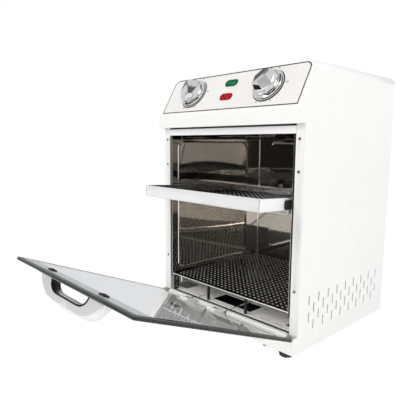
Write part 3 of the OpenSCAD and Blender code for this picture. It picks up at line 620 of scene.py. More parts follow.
# ---- chamber floor
FLOOR_Z, FLOOR_LOW = 55.0, 53.8
FLOOR_X, FLOOR_FRONT, FLOOR_BACK = 130.7, 13.8, 255.7
HOLE_PITCH, HOLE_R = 9.0, 1.95
TOP_FACE, LIT_RIM_FACE, UNDER_FACE = 0, 1, 2  # materials of the floor's faces
HOLE_STEPS = 8  # sides of a hole, and points on its square
# these sides get a pale rim: painted highlight
HOLE_LIT_SIDES = (6, 7)  # the sides of a hole that face the opening
SQUARE = [(1, 0), (1, 0.5), (1, 1), (0.5, 1), (0, 1), (0, 0.5), (0, 0), (0.5, 0)]
bm = bmesh.new()
cols = int((2 * FLOOR_X - 8) / HOLE_PITCH)
rows = int((FLOOR_BACK - FLOOR_FRONT - 12) / HOLE_PITCH)
x_start = -cols * HOLE_PITCH / 2
y_start = (FLOOR_FRONT + FLOOR_BACK) / 2 - rows * HOLE_PITCH / 2
xs = [x_start + i * HOLE_PITCH for i in range(cols + 1)]
ys = [y_start + j * HOLE_PITCH for j in range(rows + 1)]
border = [((-FLOOR_X, FLOOR_FRONT), (FLOOR_X, FLOOR_FRONT), (FLOOR_X, ys[0]), (-FLOOR_X, ys[0])),
          ((-FLOOR_X, ys[-1]), (FLOOR_X, ys[-1]), (FLOOR_X, FLOOR_BACK), (-FLOOR_X, FLOOR_BACK)),
          ((-FLOOR_X, ys[0]), (xs[0], ys[0]), (xs[0], ys[-1]), (-FLOOR_X, ys[-1])),
          ((xs[-1], ys[0]), (FLOOR_X, ys[0]), (FLOOR_X, ys[-1]), (xs[-1], ys[-1]))]
for strip in border:
    bm.faces.new([bm.verts.new(p) for p in at_z(strip, FLOOR_Z)]).material_index = TOP_FACE
for strip in border:
    under = [bm.verts.new(p) for p in at_z(strip, FLOOR_LOW)]
    bm.faces.new(under[::-1]).material_index = UNDER_FACE


def hole_ring(cx, cy, r, z):
    """The points of one level of a hole, each towards a point of its square."""
    return [bm.verts.new((*polar(r, -45 + 45 * k, cx, cy), z)) for k in range(HOLE_STEPS)]


for i in range(cols):
    for j in range(rows):
        cx, cy = xs[i] + HOLE_PITCH / 2, ys[j] + HOLE_PITCH / 2
        upper, lower = [[bm.verts.new((xs[i] + fx * HOLE_PITCH, ys[j] + fy * HOLE_PITCH, z))
                         for fx, fy in SQUARE] for z in (FLOOR_Z, FLOOR_LOW)]
        levels = [upper, hole_ring(cx, cy, HOLE_R + 1.2, FLOOR_Z),
                  hole_ring(cx, cy, HOLE_R + 0.15, FLOOR_Z + 0.6),
                  hole_ring(cx, cy, HOLE_R, FLOOR_Z + 0.4),
                  hole_ring(cx, cy, HOLE_R, FLOOR_LOW), lower]
        for step, (a, b) in enumerate(zip(levels, levels[1:])):
            for k in range(HOLE_STEPS):
                n = (k + 1) % HOLE_STEPS
                face = bm.faces.new((a[k], a[n], b[n], b[k]))
                if b is lower:
                    face.material_index = UNDER_FACE
                elif step == 1 and k in HOLE_LIT_SIDES:
                    face.material_index = LIT_RIM_FACE
piece("floor_sheet", bm, OVEN, ["dark_floor", "hole_lit_rim", "lining_rim"], "oven",
      ["perforated_floor"])

FLOOR_LIP = [(13.4, 54.2), (13.4, 55.35), (13.6, 55.6), (14.0, 55.6), (14.3, 55.3), (14.3, 55.02),
             (13.75, 54.98), (13.75, 54.2)]
bm = bmesh.new()
pull(bm, at_x, FLOOR_LIP, (-FLOOR_X, FLOOR_X))
piece("floor_front_edge", bm, OVEN, "lining_rim", "oven")


# ---- lining
def side_bars(x_in, x_out, front, back, low, high):
    """Two mirrored upright bars at the sides of the opening."""
    bm = bmesh.new()
    for side in (-1, 1):
        x_low, x_high = sorted((side * x_in, side * x_out))
        block(bm, (x_low, front, low), (x_high, back, high))
    return bm


# the left edge gets the pale rough finish and the right one the mirror finish: painted highlight
# on the left, painted shade on the right
piece("lining_front_edges", side_bars(131.0, 131.8, 12.62, 12.95, 53, 315.6), OVEN,
      ["lining_rim", "polished_lining"], "oven", bevel=0.12,
      pick=lambda f: 1 if f.calc_center_median().x > 0 else 0)
# black strips in the gap between posts and lining, where it lies in shade: painted shade
piece("opening_shade_strips", side_bars(131.9, 135.2, 12.7, 13.7, 50, 307.6), OVEN, "black_plastic",
      "oven", bevel=0.2)

WALL_X, WALL_T, WALL_Y, WALL_Z = 131.0, 1.0, (12.9, 256.0), (52.8, 316.0)
PANEL_Y, PANEL_Z = (28.0, 216.0), (61.0, 299.0)  # the pressed panel of each side wall
PANEL_R, PANEL_SLOPE, PANEL_STEP, PANEL_BOWL = 14.0, 3.0, 1.5, 2.6
PANEL_MID = Vector((sum(PANEL_Y) / 2, sum(PANEL_Z) / 2))
PANEL_HALF = Vector((PANEL_Y[1] - PANEL_Y[0], PANEL_Z[1] - PANEL_Z[0])) / 2
TURN_LINES = [0.75 * k for k in range(5)] + [3.75 + 1.5 * k for k in range(9)]
OUTER_LINE, MIDDLE_STEPS = 1.5, 20


def panel_depth(y, z):
    """How far the pressed panel stands back from the wall at one place."""
    dy, dz = y - PANEL_MID.x, z - PANEL_MID.y
    qy, qz = abs(dy) - PANEL_HALF.x + PANEL_R, abs(dz) - PANEL_HALF.y + PANEL_R
    inside = PANEL_R - math.hypot(max(qy, 0), max(qz, 0)) - min(max(qy, qz), 0)
    if inside <= 0:
        return 0.0
    t = min(inside / PANEL_SLOPE, 1.0)
    bowl = (1 - (dy / PANEL_HALF.x) ** 2) * (1 - 0.4 * (dz / PANEL_HALF.y) ** 2)
    return PANEL_STEP * t * t * (3 - 2 * t) + PANEL_BOWL * max(bowl, 0.0)


def wall_lines(low, high, first, last):
    """Grid lines over one direction of a wall, close together where the panel turns."""
    inner = TURN_LINES[-1]
    middle = (last - inner) - (first + inner)
    return ([low, (low + first) / 2, first - OUTER_LINE] + [first + d for d in TURN_LINES]
            + [first + inner + middle * k / MIDDLE_STEPS for k in range(1, MIDDLE_STEPS)]
            + [last - d for d in reversed(TURN_LINES)]
            + [last + OUTER_LINE, (last + high) / 2, high])


wall_ys = wall_lines(*WALL_Y, *PANEL_Y)
wall_zs = wall_lines(*WALL_Z, *PANEL_Z)
last_y, last_z = len(wall_ys) - 1, len(wall_zs) - 1
for side, name in ((-1, "left"), (1, "right")):
    bm = bmesh.new()
    skins = [[[bm.verts.new((side * (WALL_X + extra + panel_depth(y, z)), y, z)) for z in wall_zs]
              for y in wall_ys] for extra in (0.0, WALL_T)]
    for skin in skins:
        for i in range(last_y):
            for j in range(last_z):
                bm.faces.new((skin[i][j], skin[i + 1][j], skin[i + 1][j + 1], skin[i][j + 1]))
    a, b = skins
    for i in range(last_y):
        for j in (0, last_z):
            bm.faces.new((a[i][j], b[i][j], b[i + 1][j], a[i + 1][j]))
    for j in range(last_z):
        for i in (0, last_y):
            bm.faces.new((a[i][j], b[i][j], b[i][j + 1], a[i][j + 1]))
    piece(name + "_pressed_wall", bm, OVEN, "polished_lining", "oven",
          ["lining_" + name], smooth=60)

# ridge round the front and the foot of each panel, with its flat side towards the opening
RIDGE = ((1.15, 0.0), (0.1, 0.82), (-0.3, 0.82), (-0.9, 0.0))  # outward, height
RIDGE_OUT = 0.4
y0, y1, z0, z1 = PANEL_Y[0] - RIDGE_OUT, PANEL_Y[1], PANEL_Z[0] - RIDGE_OUT, PANEL_Z[1]
crease = [(y1 - 20, z0), (y0 + PANEL_R, z0)]
crease += arc(y0 + PANEL_R, z0 + PANEL_R, PANEL_R, 270, 180, 10)
crease += arc(y0 + PANEL_R, z1 - PANEL_R, PANEL_R, 180, 100, 10)
bm = bmesh.new()
for side in (-1, 1):
    rings = []
    for i, p in enumerate(crease):
        a, b = Vector(crease[max(i - 1, 0)]), Vector(crease[min(i + 1, len(crease) - 1)])
        t = (b - a).normalized()
        out = Vector((-t.y, t.x))
        if out.dot(Vector(p) - PANEL_MID) < 0:
            out = -out
        fade = min(1.0, (len(crease) - 1 - i) / 6 + 0.15)
        rings.append([Vector((side * (WALL_X + SINK - h * fade), p[0] + out.x * d,
                              p[1] + out.y * d)) for d, h in RIDGE])
    loft(bm, rings)
# the ridges get the paler steel, so that they show as bright lines: painted highlight
piece("lining_beads", bm, OVEN, "bead_bright", "oven", smooth=20)

SEAM = [(130.95, 253.6), (130.2, 254.15), (129.15, 255.2), (128.6, 255.95), (130.95, 255.95)]
bm = bmesh.new()
for side in (-1, 1):
    pull(bm, at_z, [(side * x, y) for x, y in SEAM], (55.1, 315.9))
# the seams get the paler steel as well: painted highlight
piece("lining_corner_seams", bm, OVEN, "bead_bright", "oven", smooth=60)

# ---- crumb space
# slotted plate that stands at its left end, and black sheets on its floor and along its front edge
# that are painted shade
CATCH_X, CATCH_HALF_T = -126, 0.7
bm = bmesh.new()
slots = [rounded(15.4, low, 20.6, low + 8.0, (1.5,) * 4, 3)[::-1] for low in (28.6, 41.0)]
plate(bm, [rounded(12.5, 25.4, 23.5, 52.0, (1.0,) * 4, 3)] + slots, -CATCH_HALF_T, CATCH_HALF_T)
piece("left_slotted_plate", bm, OVEN @ moved((CATCH_X, 0, 0)) @ DRAWN_YZ,
      "black_steel", "oven", bevel=0.15)
# black sheet over the bottom plate, seen through the deck's openings: painted shade
bm = bmesh.new()
pull(bm, at_z, rounded(-146, 24, 146, 262, (3,) * 4, 4), (1.3, 2.0, 2.8))
piece("bottom_shade_sheet", bm, OVEN, "felt", "oven", bevel=0.3)
# black strip in the gap behind the hinge, where it lies in shade: painted shade
HINGE_SHADE_STRIP = [(17.3, 23.2), (19.9, 23.2), (19.9, 24.0), (19.2, 24.4), (17.3, 24.0)]
bm = bmesh.new()
pull(bm, at_x, HINGE_SHADE_STRIP, (-131, 131))
piece("deck_hinge_shade_strip", bm, OVEN, "felt", "oven")

# ---- door glass
GLASS_LOW, GLASS_LEN, GLASS_T, GLASS_IN = 10.4, 279.6, 4.5, 1.2
GLASS_TOP, GLASS_OUT = GLASS_LOW + GLASS_LEN, GLASS_IN - GLASS_T
GLASS_HALF, ARRIS, BORDER_INSET = 150, 0.7, 0.8


def glass_face(face):
    """Clear on both sides, dark on the cut edge and a little paler on its arris."""
    across = abs(face.normal.y)
    return 0 if across > 0.95 else 2 if across > 0.3 else 1


bm = bmesh.new()
rings = []
for y, inset in ((GLASS_OUT, ARRIS), (GLASS_OUT + ARRIS, 0), (GLASS_IN - ARRIS, 0),
                 (GLASS_IN, ARRIS)):
    rings.append(at_y(rounded(-GLASS_HALF + inset, GLASS_LOW + inset, GLASS_HALF - inset,
                              GLASS_TOP - inset, (2.5,) * 4, 5), y))
loft(bm, rings)
pane = piece("glass_pane", bm, DOOR, ["door_glass", "glass_edge", "glass_arris"], "door",
             ["door_glass"], pick=glass_face)
pane.visible_shadow = False
bm = bmesh.new()
band = rounded(-143.2, GLASS_TOP - 27, 143.2, GLASS_TOP - 6.3, (2, 2, 1, 1), 4)
pull(bm, at_y, band, (GLASS_IN, GLASS_IN + 0.06))
piece("glass_edge_band", bm, DOOR, "edge_band", "door")
BORDER_X, BORDER_LOW, BORDER_TOP = 149.2, GLASS_LOW + BORDER_INSET, GLASS_TOP - BORDER_INSET
BORDER_IN_X, BORDER_IN_TOP = 143.4, GLASS_TOP - 6.2
border = rounded(-BORDER_X, BORDER_LOW, BORDER_X, BORDER_TOP, (0, 2, 2, 0), 4)
border += [(-BORDER_IN_X, BORDER_LOW), (-BORDER_IN_X, BORDER_IN_TOP),
           (BORDER_IN_X, BORDER_IN_TOP), (BORDER_IN_X, BORDER_LOW)]
bm = bmesh.new()
plate(bm, [border], GLASS_IN, GLASS_IN + 0.1)
piece("glass_border_film", bm, DOOR @ DRAWN_XZ, "glass_border", "door")

# ---- handle
HANDLE_Z = GLASS_TOP - 16.5
FOOT_HALF_W, FOOT_HALF_H, FOOT_T = 82, 12, 1.5
bm = bmesh.new()
outline = rounded(-FOOT_HALF_W, HANDLE_Z - FOOT_HALF_H, FOOT_HALF_W, HANDLE_Z + FOOT_HALF_H,
                  (5,) * 4, 6)
pull(bm, at_y, outline, (GLASS_OUT - FOOT_T, GLASS_OUT - SINK))
piece("handle_foot_plate", bm, DOOR, "handle_shadow", "door", ["handle_base"],
      bevel=0.3)

# The loop is lofted between three outlines: the rim's edge on each face, and the finger window.
# Each is given as one half: distance from the middle, distance out of the glass.
HANDLE_HALF = 6.25
NEAR_RIM = [(79.5, 1.6), (79.2, 5.0), (75.8, 9.8), (70.0, 14.2), (61.0, 20.0), (49.0, 24.8),
            (28.0, 26.8), (0.0, 27.0)]
FAR_RIM = [(81.8, 1.6), (81.4, 5.0), (78.6, 9.8), (72.0, 17.0), (62.5, 24.2), (47.0, 29.6),
           (27.0, 31.6), (0.0, 31.9)]
WINDOW = [(49.0, 1.6), (48.8, 4.0), (47.0, 8.6), (43.4, 12.6), (37.0, 16.2), (28.0, 17.9),
          (14.0, 18.0), (0.0, 18.0)]
CURVE_STEPS = 5
LINER = ((0.1, -6.6), (1.7, -6.6), (2.0, -6.2), (2.0, -1.0), (1.3, -0.5), (1.3, 0.5), (2.0, 1.0),
         (2.0, 6.2), (1.7, 6.6), (0.1, 6.6))  # distance into the window, place across the rim


def smooth_outline(half):
    """Catmull-Rom curve through the points of one half and their mirror images."""
    pts = [Vector((-x, y)) for x, y in half] + [Vector((x, y)) for x, y in half[-2::-1]]
    out = []
    for i in range(len(pts) - 1):
        a, b, c, d = pts[max(i - 1, 0)], pts[i], pts[i + 1], pts[min(i + 2, len(pts) - 1)]
        for k in range(CURVE_STEPS):
            t = k / CURVE_STEPS
            out.append(0.5 * (2 * b + (c - a) * t + (2 * a - 5 * b + 4 * c - d) * t * t
                              + (3 * b - a - 3 * c + d) * t * t * t))
    return out + [pts[-1]]


near, far, window = smooth_outline(NEAR_RIM), smooth_outline(FAR_RIM), smooth_outline(WINDOW)


def at_door(p, z):
    return Vector((p.x, GLASS_OUT - p.y, HANDLE_Z + z))


bm = bmesh.new()
rings = []
for p, q, w in zip(near, far, window):
    to_near, to_far = (p - w).normalized(), (q - w).normalized()
    middle = (p + q) / 2 + (p - w).normalized() * 1.5
    section = ((w, 5.2), (w + to_near * 1.0, HANDLE_HALF), (p - to_near * 1.1, HANDLE_HALF),
               (p - to_near * 0.5, HANDLE_HALF - 0.35), (p - to_near * 0.5, HANDLE_HALF - 0.7),
               (p, HANDLE_HALF - 0.9), (p * 0.7 + middle * 0.3, 3.6), (middle, 0.0),
               (q * 0.7 + middle * 0.3, -3.6), (q, -5.2), (q - to_far * 1.1, -HANDLE_HALF),
               (w + to_far * 1.0, -HANDLE_HALF), (w, -5.2))
    rings.append([at_door(place, z) for place, z in section])
loft(bm, rings)
# faces along Z get the greyer copy and the rim the whiter one: painted shade and painted highlight
piece("handle_loop", bm, DOOR, ["handle_silver", "handle_lit_rim"], "door",
      ["handle"], pick=lambda f: 0 if abs(f.normal.z) > 0.8 else 1)

# black liner of the window, with a groove along its middle
bm = bmesh.new()
rings = []
for i, w in enumerate(window):
    t = (window[min(i + 1, len(window) - 1)] - window[max(i - 1, 0)]).normalized()
    inward = Vector((t.y, -t.x))
    rings.append([at_door(w + inward * d, z) for d, z in LINER])
loft(bm, rings)
piece("handle_grip_liner", bm, DOOR, "black_gloss", "door", ["handle_liner"],
      smooth=30)

# caps with screws on the inner face, over the handle's feet
CAP_X = 66.5
CAP_LEVELS = ((-0.01, 0.0), (1.2, 0.0), (1.8, 0.4), (2.1, 1.2))  # height over the glass, inset
CAP_SCREW = ((0.4, 2.0), (2.7, 2.0), (2.5, 2.6), (1.4, 2.9), (0.4, 2.9))
bm = bmesh.new()
for x in (-CAP_X, CAP_X):
    loft(bm, [at_y(capsule(x, HANDLE_Z, 16 - 2 * inset, 9 - 2 * inset), GLASS_IN + h)
              for h, inset in CAP_LEVELS])
    lathe(bm, [(r, GLASS_IN + h) for r, h in CAP_SCREW], 20,
          moved((x, 0, HANDLE_Z)) @ OUT_OF_BACK)
piece("handle_screw_caps", bm, DOOR, "black_plastic", "door", ["handle_caps"],
      smooth=40)

# ---- arms, clamp bolts and hinge
TUBE_L, TUBE_R_END = -68.5, 13.5  # ends of the tube that turns with the door
TUBE_END, TUBE_R, TUBE_GAP = 131, 6.2, 0.3
ARM_X = (TUBE_L + 9, TUBE_R_END - 7)
ARM_T = 2.8
ARM_TOP = GLASS_IN + ARM_T
BOLT_Z = GLASS_LOW + 14
BOLT_HEAD = [(0.4, ARM_TOP - 0.1), (4, ARM_TOP - 0.1), (4, ARM_TOP + 0.9), (3.2, ARM_TOP + 1.5),
             (0.4, ARM_TOP + 1.6)]
BOLT_PAD = [(0.4, GLASS_OUT + 0.1), (8, GLASS_OUT + 0.1), (8, GLASS_OUT - 1.1),
            (7.4, GLASS_OUT - 1.5), (0.4, GLASS_OUT - 1.5)]
bm = bmesh.new()
for x in ARM_X:
    block(bm, (x - 6, GLASS_IN, 5.6), (x + 6, ARM_TOP, GLASS_LOW + 2))
    outline = rounded(x - 9, GLASS_LOW - 2, x + 9, GLASS_LOW + 24, (3,) * 4, 5)
    pull(bm, at_y, outline, (GLASS_IN, ARM_TOP))
piece("door_arm_plates", bm, DOOR, "white_plastic", "door", ["door_arms"],
      bevel=0.4)
bm = bmesh.new()
for x in ARM_X:
    place = moved((x, 0, BOLT_Z)) @ OUT_OF_BACK
    lathe(bm, BOLT_HEAD, 28, place)
    lathe(bm, BOLT_PAD, 36, place)
piece("door_clamp_bolts", bm, DOOR, "screw_zinc", "door", ["door_pads"])


def on_hinge(x):
    """A frame on the hinge rod, with local Z along it."""
    return moved((x, *PIVOT[1:])) @ rotation(90, "Y")


def sleeve(bm, x0, x1):
    """A tube round the hinge rod, with a rolled collar at each end."""
    r, length = TUBE_R, x1 - x0
    lathe(bm, [(2.7, 0), (r - 0.7, 0), (r, 0.7), (r, 4.4), (r - 0.5, 4.9), (r - 0.5, length - 4.9),
               (r, length - 4.4), (r, length - 0.7), (r - 0.7, length), (2.7, length)], 40,
          on_hinge(x0))


bm = bmesh.new()
sleeve(bm, TUBE_L, TUBE_R_END)
piece("door_hinge_sleeve", bm, OVEN, "white_plastic", "door", ["door_tube"])
bm = bmesh.new()
sleeve(bm, -TUBE_END, TUBE_L - TUBE_GAP)
sleeve(bm, TUBE_R_END + TUBE_GAP, TUBE_END)
piece("fixed_hinge_sleeves", bm, OVEN, "white_plastic", "oven", ["hinge_tubes"])

END_RING = [(5.8, 0), (6.6, 0), (6.9, 0.3), (6.9, 1.9), (6.6, 2.2), (5.8, 2.2)]
bm = bmesh.new()
for x in (TUBE_L - 1.3, TUBE_R_END + 0.4):
    lathe(bm, END_RING, 40, on_hinge(x))
piece("hinge_end_rings", bm, OVEN, "black_plastic", "oven")

# springs: a wire, a close coil and a wire to the ball anchor
SPRING_X = (TUBE_L + 12.5, TUBE_R_END + 6.5)
SPRING_Z, SPRING_FRONT, SPRING_BACK, ANCHOR_Y = 29.0, 3.0, 66.0, 72.0
COIL_START, COIL_LEN, COIL_R, COIL_TURNS, COIL_STEPS = 34, 22, 1.2, 18, 18 * 12
WIRE_R, COIL_WIRE_R = 0.75, 0.42
bm = bmesh.new()
for x in SPRING_X:
    sweep(bm, [(x, SPRING_FRONT + k * 3.1, SPRING_Z) for k in range(11)], WIRE_R, 8)
    sweep(bm, [(x, COIL_START + COIL_LEN + k * 3.0, SPRING_Z) for k in range(6)], WIRE_R, 8)
    coil = []
    for k in range(COIL_STEPS + 1):
        a = 2 * math.pi * COIL_TURNS * k / COIL_STEPS
        coil.append((x + COIL_R * math.cos(a), COIL_START + COIL_LEN * k / COIL_STEPS,
                     SPRING_Z + COIL_R * math.sin(a)))
    sweep(bm, coil, COIL_WIRE_R, 6)
springs = piece("door_spring_wires", bm, OVEN, "steel_wire", None, ["door_springs"],
                smooth=60)
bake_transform(springs)

BALL_R, BALL_STEPS = 4, 16
BALL = [(BALL_R * math.sin(math.pi * k / BALL_STEPS), -BALL_R * math.cos(math.pi * k / BALL_STEPS))
        for k in range(BALL_STEPS + 1)]
BALL_COLLAR = [(2.0, -4.6), (2.3, -4.4), (2.3, -3.0), (1.2, -3.0), (1.2, -4.6)]
bm = bmesh.new()
for x in SPRING_X:
    place = moved((x, ANCHOR_Y, SPRING_Z))
    lathe(bm, BALL, 32, place)
    lathe(bm, BALL_COLLAR, 24, place @ OUT_OF_BACK)
piece("spring_ball_anchors", bm, OVEN, "white_plastic", "oven",
      ["spring_anchors"], smooth=50)

# ---- tray
TRAY_HALF, TRAY_L, TRAY_H = 127.5, 224.5, 18.5
TRAY_WALL = 1.6  # the inside's finish starts this far in
TRAY_LEVELS = ((0.0, 2.2), (0.5, 1.0), (2.2, 0.0), (TRAY_H - 2.4, 0.0), (TRAY_H - 1.9, 0.0),
               (TRAY_H - 0.5, 0.0), (TRAY_H, 0.5), (TRAY_H - 0.2, 1.4), (TRAY_H - 1.8, 1.9),
               (3.0, 1.9), (1.6, 2.6), (1.0, 4.4))  # height, inset: up outside, down inside


def tray_face(face):
    """The second material on the inside, below the rolled rim."""
    x, y, z = face.calc_center_median()
    inside = abs(x) < TRAY_HALF - TRAY_WALL and TRAY_WALL < y < TRAY_L - TRAY_WALL
    return 1 if inside and 0.9 < z < TRAY_H - 0.8 else 0


bm = bmesh.new()
rings = []
for z, inset in TRAY_LEVELS:
    r = max(3.2 - inset, 1.0)
    rings.append(at_z(rounded(-TRAY_HALF + inset, inset, TRAY_HALF - inset, TRAY_L - inset,
                              (r,) * 4, 5), z))
loft(bm, rings)
piece("tray_pan", bm, TRAY, ["tray_steel", "tray_inside"], "tray", ["tray"],
      smooth=40, pick=tray_face)

# black pads on the tray's sides, where they run into the chamber's shade: painted shade
PAD_LEVELS = ((0, 0.0), (1.9, 0.0), (2.5, 0.6))  # distance out of the tray's side, inset
bm = bmesh.new()
for s in (-1, 1):
    loft(bm, [at_x(rounded(50 + inset, 2 + inset, 76 - inset, TRAY_H - 3 - inset, (3.5,) * 4, 5),
                   s * (TRAY_HALF + out)) for out, inset in PAD_LEVELS])
piece("tray_side_shade_pads", bm, TRAY, "black_plastic", "tray", ["tray_pads"])

# a dark line where each front corner of the tray turns: painted shade
FOLD_X, FOLD_W = TRAY_HALF - 3.3, 0.5
fold = rounded(FOLD_X, 1.4, FOLD_X + FOLD_W, TRAY_H - 1.2, (0.2,) * 4, 3)
bm = bmesh.new()
for s in (-1, 1):
    pull(bm, at_y, [(s * x, z) for x, z in fold], (-0.05, 0.3))
piece("tray_corner_shade_lines", bm, TRAY, "ink_soft", "tray")

# ---- rack
# crimped wires, woven inside a round frame that stands on four pegs
RACK_INSET = 4.5
RACK_X, RACK_FRONT, RACK_BACK = TRAY_HALF - RACK_INSET, RACK_INSET, TRAY_L - RACK_INSET
RACK_Z = 5.8
RACK_FRAME_R, RACK_WIRE_R, PEG_R, PEG_LOW = 1.5, 0.5, 1.4, 1.35
WEAVE, CRIMP, WEAVE_STEPS = 5.5, 0.45, 4
bm = bmesh.new()
frame_line = rounded(-RACK_X, RACK_FRONT, RACK_X, RACK_BACK, (5,) * 4, 6)
sweep(bm, [(x, y, RACK_Z) for x, y in frame_line], RACK_FRAME_R, 10, closed=True)
for s in (-1, 1):
    for y in (RACK_FRONT + 6, RACK_BACK - 6):
        rod(bm, (s * RACK_X, y, PEG_LOW), (s * RACK_X, y, RACK_Z), PEG_R, 12, 0.3)
nx = int(2 * (RACK_X - 2) / WEAVE)
ny = int((RACK_BACK - RACK_FRONT - 4) / WEAVE)
xs = [(-nx / 2 + i) * WEAVE for i in range(nx + 1)]
ys = [(RACK_FRONT + RACK_BACK) / 2 + (-ny / 2 + j) * WEAVE for j in range(ny + 1)]
for i, x in enumerate(xs):
    wire = [(x, RACK_FRONT, RACK_Z)]
    for k in range(ny * WEAVE_STEPS + 1):
        lift = CRIMP * math.cos(math.pi * (k / WEAVE_STEPS + i))
        wire.append((x, ys[0] + k * WEAVE / WEAVE_STEPS, RACK_Z + lift))
    sweep(bm, wire + [(x, RACK_BACK, RACK_Z)], RACK_WIRE_R, 4)
for j, y in enumerate(ys):
    wire = [(-RACK_X, y, RACK_Z)]
    for k in range(nx * WEAVE_STEPS + 1):
        lift = CRIMP * math.cos(math.pi * (k / WEAVE_STEPS + j))
        wire.append((xs[0] + k * WEAVE / WEAVE_STEPS, y, RACK_Z - lift))
    sweep(bm, wire + [(RACK_X, y, RACK_Z)], RACK_WIRE_R, 4)
piece("woven_rack", bm, TRAY, "rack_wire", "rack", ["tray_rack"], smooth=60)

# ---- cord gland
GLAND_AT, GLAND_BORE = (95, 270, 40), 3.6
gland = [(GLAND_BORE, 0), (9, 0), (9, 2.6), (8.4, 3.6), (6.0, 4.0)]
for z in (4.4, 6.8, 9.2):
    gland += [(6.0, z), (5.2, z + 0.2), (5.2, z + 1.2), (5.9, z + 1.4)]
gland += [(5.6, 11.4), (5.0, 12), (GLAND_BORE, 12)]
flange = [(GLAND_BORE, -4.2), (10, -4.2), (10, -1.2), (7, -1.2), (7, 0), (GLAND_BORE, 0)]
bm = bmesh.new()
for profile in (gland, flange):
    lathe(bm, profile, 48, moved(GLAND_AT) @ OUT_OF_BACK)
piece("gland_body", bm, OVEN, "black_plastic", "oven", ["cord_gland"])

# ---- stage
FLOOR_GLOW, FLOOR_SHARE = 1.09, 0.84  # the rest of the floor's look is its lit surface
SKY_LIGHT, SKY_MIRRORED, SKY_SEEN = 0.68, 0.86, 1.0


def seen_directly(tree, paths):
    """1 where the camera looks straight or through glass, otherwise 0."""
    seen = add(tree, "ShaderNodeMath", operation="MAXIMUM")
    tree.links.new(paths.outputs["Is Camera Ray"], seen.inputs[0])
    tree.links.new(paths.outputs["Is Transmission Ray"], seen.inputs[1])
    return seen.outputs[0]


def mixed(tree, factor, low, high):
    mix = add(tree, "ShaderNodeMixShader")
    for socket, source in zip(mix.inputs, (factor, low, high)):
        tree.links.new(source, socket)
    return mix.outputs[0]


def sheet(name, corners, material):
    mesh = bpy.data.meshes.new(name)
    mesh.from_pydata(corners, [], [(0, 1, 2, 3)])
    mesh.materials.append(material)
    obj = bpy.data.objects.new(name, mesh)
    scene.collection.objects.link(obj)
    obj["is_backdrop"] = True
    return obj


ground = bpy.data.materials.new("stage_floor")
ground.use_nodes = True
tree = ground.node_tree
lit = tree.nodes["Principled BSDF"]
lit.inputs["Base Color"].default_value = (0.90, 0.90, 0.90, 1)
lit.inputs["Roughness"].default_value = 0.9
glow = add(tree, "ShaderNodeEmission", Strength=FLOOR_GLOW)
share = add(tree, "ShaderNodeMath", operation="MULTIPLY")
share.inputs[1].default_value = FLOOR_SHARE
tree.links.new(seen_directly(tree, add(tree, "ShaderNodeLightPath")), share.inputs[0])
tree.links.new(mixed(tree, share.outputs[0], lit.outputs[0], glow.outputs[0]),
               tree.nodes["Material Output"].inputs["Surface"])
sheet("stage_floor", [(-30, -30, 0), (30, -30, 0), (30, 30, 0), (-30, 30, 0)], ground)

DARK = (0.022, 0.020, 0.018)
GREY = (0.20, 0.195, 0.19)
# name, two lower corners, height of both edges, how far the upper edge leans, colour, strength
CARDS = (
    ("dark_right", (-1.45, -2.2), (2.1, -2.2), (0.02, 1.1), (0, 0), DARK, 1.0),
    ("dark_left", (-4.4, -2.2), (-2.62, -2.2), (0.02, 0.9), (0, 0), DARK, 1.0),
    ("high_left", (-2.2, -0.9), (-1.5, -1.9), (1.15, 1.75), (0, 0), DARK, 1.0),
    ("high_front", (-1.1, -2.2), (-0.3, -2.4), (1.5, 2.3), (0, 0.3), GREY, 3.0),
    ("overhead", (-0.9, -0.9), (0.3, -1.3), (2.2, 2.4), (0.2, 0.8), GREY, 0.75),
    ("low_left", (-1.6, -0.5), (-1.3, -1.0), (0.5, 0.8), (0, 0), GREY, 1.0),
    ("back_left", (-3.3, 0.7), (-1.2, 3.1), (0.5, 3.1), (0, 0), GREY, 0.8))

for name, a, b, (low, high), (dx, dy), color, strength in CARDS:
    # only mirrors and glass can see these
    material = bpy.data.materials.new("stage_" + name)
    material.use_nodes = True
    tree = material.node_tree
    tree.nodes.clear()
    out = add(tree, "ShaderNodeOutputMaterial")
    light = add(tree, "ShaderNodeEmission", Color=(*color, 1), Strength=strength)
    tree.links.new(light.outputs[0], out.inputs["Surface"])
    obj = sheet("stage_" + name, [(*a, low), (*b, low), (b[0] + dx, b[1] + dy, high),
                                  (a[0] + dx, a[1] + dy, high)], material)
    for ray in ("camera", "diffuse", "shadow", "transmission"):
        setattr(obj, "visible_" + ray, False)

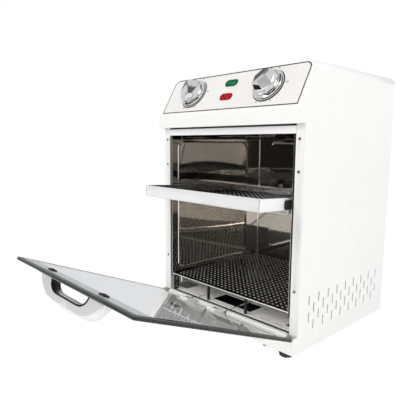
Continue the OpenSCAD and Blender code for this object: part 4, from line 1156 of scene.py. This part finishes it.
# ---- world and lamps
world = bpy.data.worlds.new("studio")
scene.world = world
world.use_nodes = True
tree = world.node_tree
ambient = tree.nodes["Background"]
ambient.inputs["Color"].default_value = (0.92, 0.95, 1.0, 1)
ambient.inputs["Strength"].default_value = SKY_LIGHT
sky = add(tree, "ShaderNodeBackground", Color=(0.97, 0.98, 1.0, 1), Strength=SKY_MIRRORED)
white = add(tree, "ShaderNodeBackground", Color=(1, 1, 1, 1), Strength=SKY_SEEN)
paths = add(tree, "ShaderNodeLightPath")
unseen = mixed(tree, paths.outputs["Is Glossy Ray"], ambient.outputs[0], sky.outputs[0])
tree.links.new(mixed(tree, seen_directly(tree, paths), unseen, white.outputs[0]),
               tree.nodes["World Output"].inputs["Surface"])


def lamp(name, place, target, size, power, color, mirrored=True):
    """An area lamp that faces a target. One that isn't mirrored leaves no picture of itself."""
    data = bpy.data.lights.new(name, "AREA")
    data.shape = "RECTANGLE"
    data.size, data.size_y = size
    data.energy = power
    data.color = color
    obj = bpy.data.objects.new(name, data)
    scene.collection.objects.link(obj)
    obj.location = place
    obj.visible_glossy = mirrored
    obj.rotation_euler = (Vector(target) - Vector(place)).to_track_quat("-Z", "Y").to_euler()


lamp("key", (-0.9, -1.5, 1.5), (0, 0, 0.2), (0.7, 0.7), 11.8, (1.0, 0.985, 0.965))
lamp("side", (1.9, 0.2, 1.0), (0.1, 0.1, 0.2), (1.4, 1.4), 14.0, (1.0, 0.99, 0.975))
lamp("low_fill", (0.25, -1.2, 0.7), (0, -0.08, 0.03), (1.1, 0.35), 3.9, (1.0, 0.99, 0.97),
     mirrored=False)

# ---- camera
# solved from the photograph's straight edges, in the oven's frame
CAMERA_AT = Vector((480.52975, -477.435, 291.89483))
LENS_MM, SENSOR_MM = 37.4515, 36
RIGHT = Vector((0.68728518, 0.72635136, 0.00726535))
UP = Vector((-0.10971762, 0.09391888, 0.98951568))
FORWARD = Vector((-0.71805371, 0.6808766, -0.1442426))
camera = bpy.data.cameras.new("camera")
camera.lens = LENS_MM
camera.sensor_width = SENSOR_MM
camera.clip_start = 0.01
view = bpy.data.objects.new("camera", camera)
scene.collection.objects.link(view)
turn = Matrix((RIGHT, UP, -FORWARD)).transposed().to_4x4()
view.matrix_world = moved(OVEN @ CAMERA_AT) @ turn
scene.camera = view
scene.view_settings.view_transform = "Standard"

low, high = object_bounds()
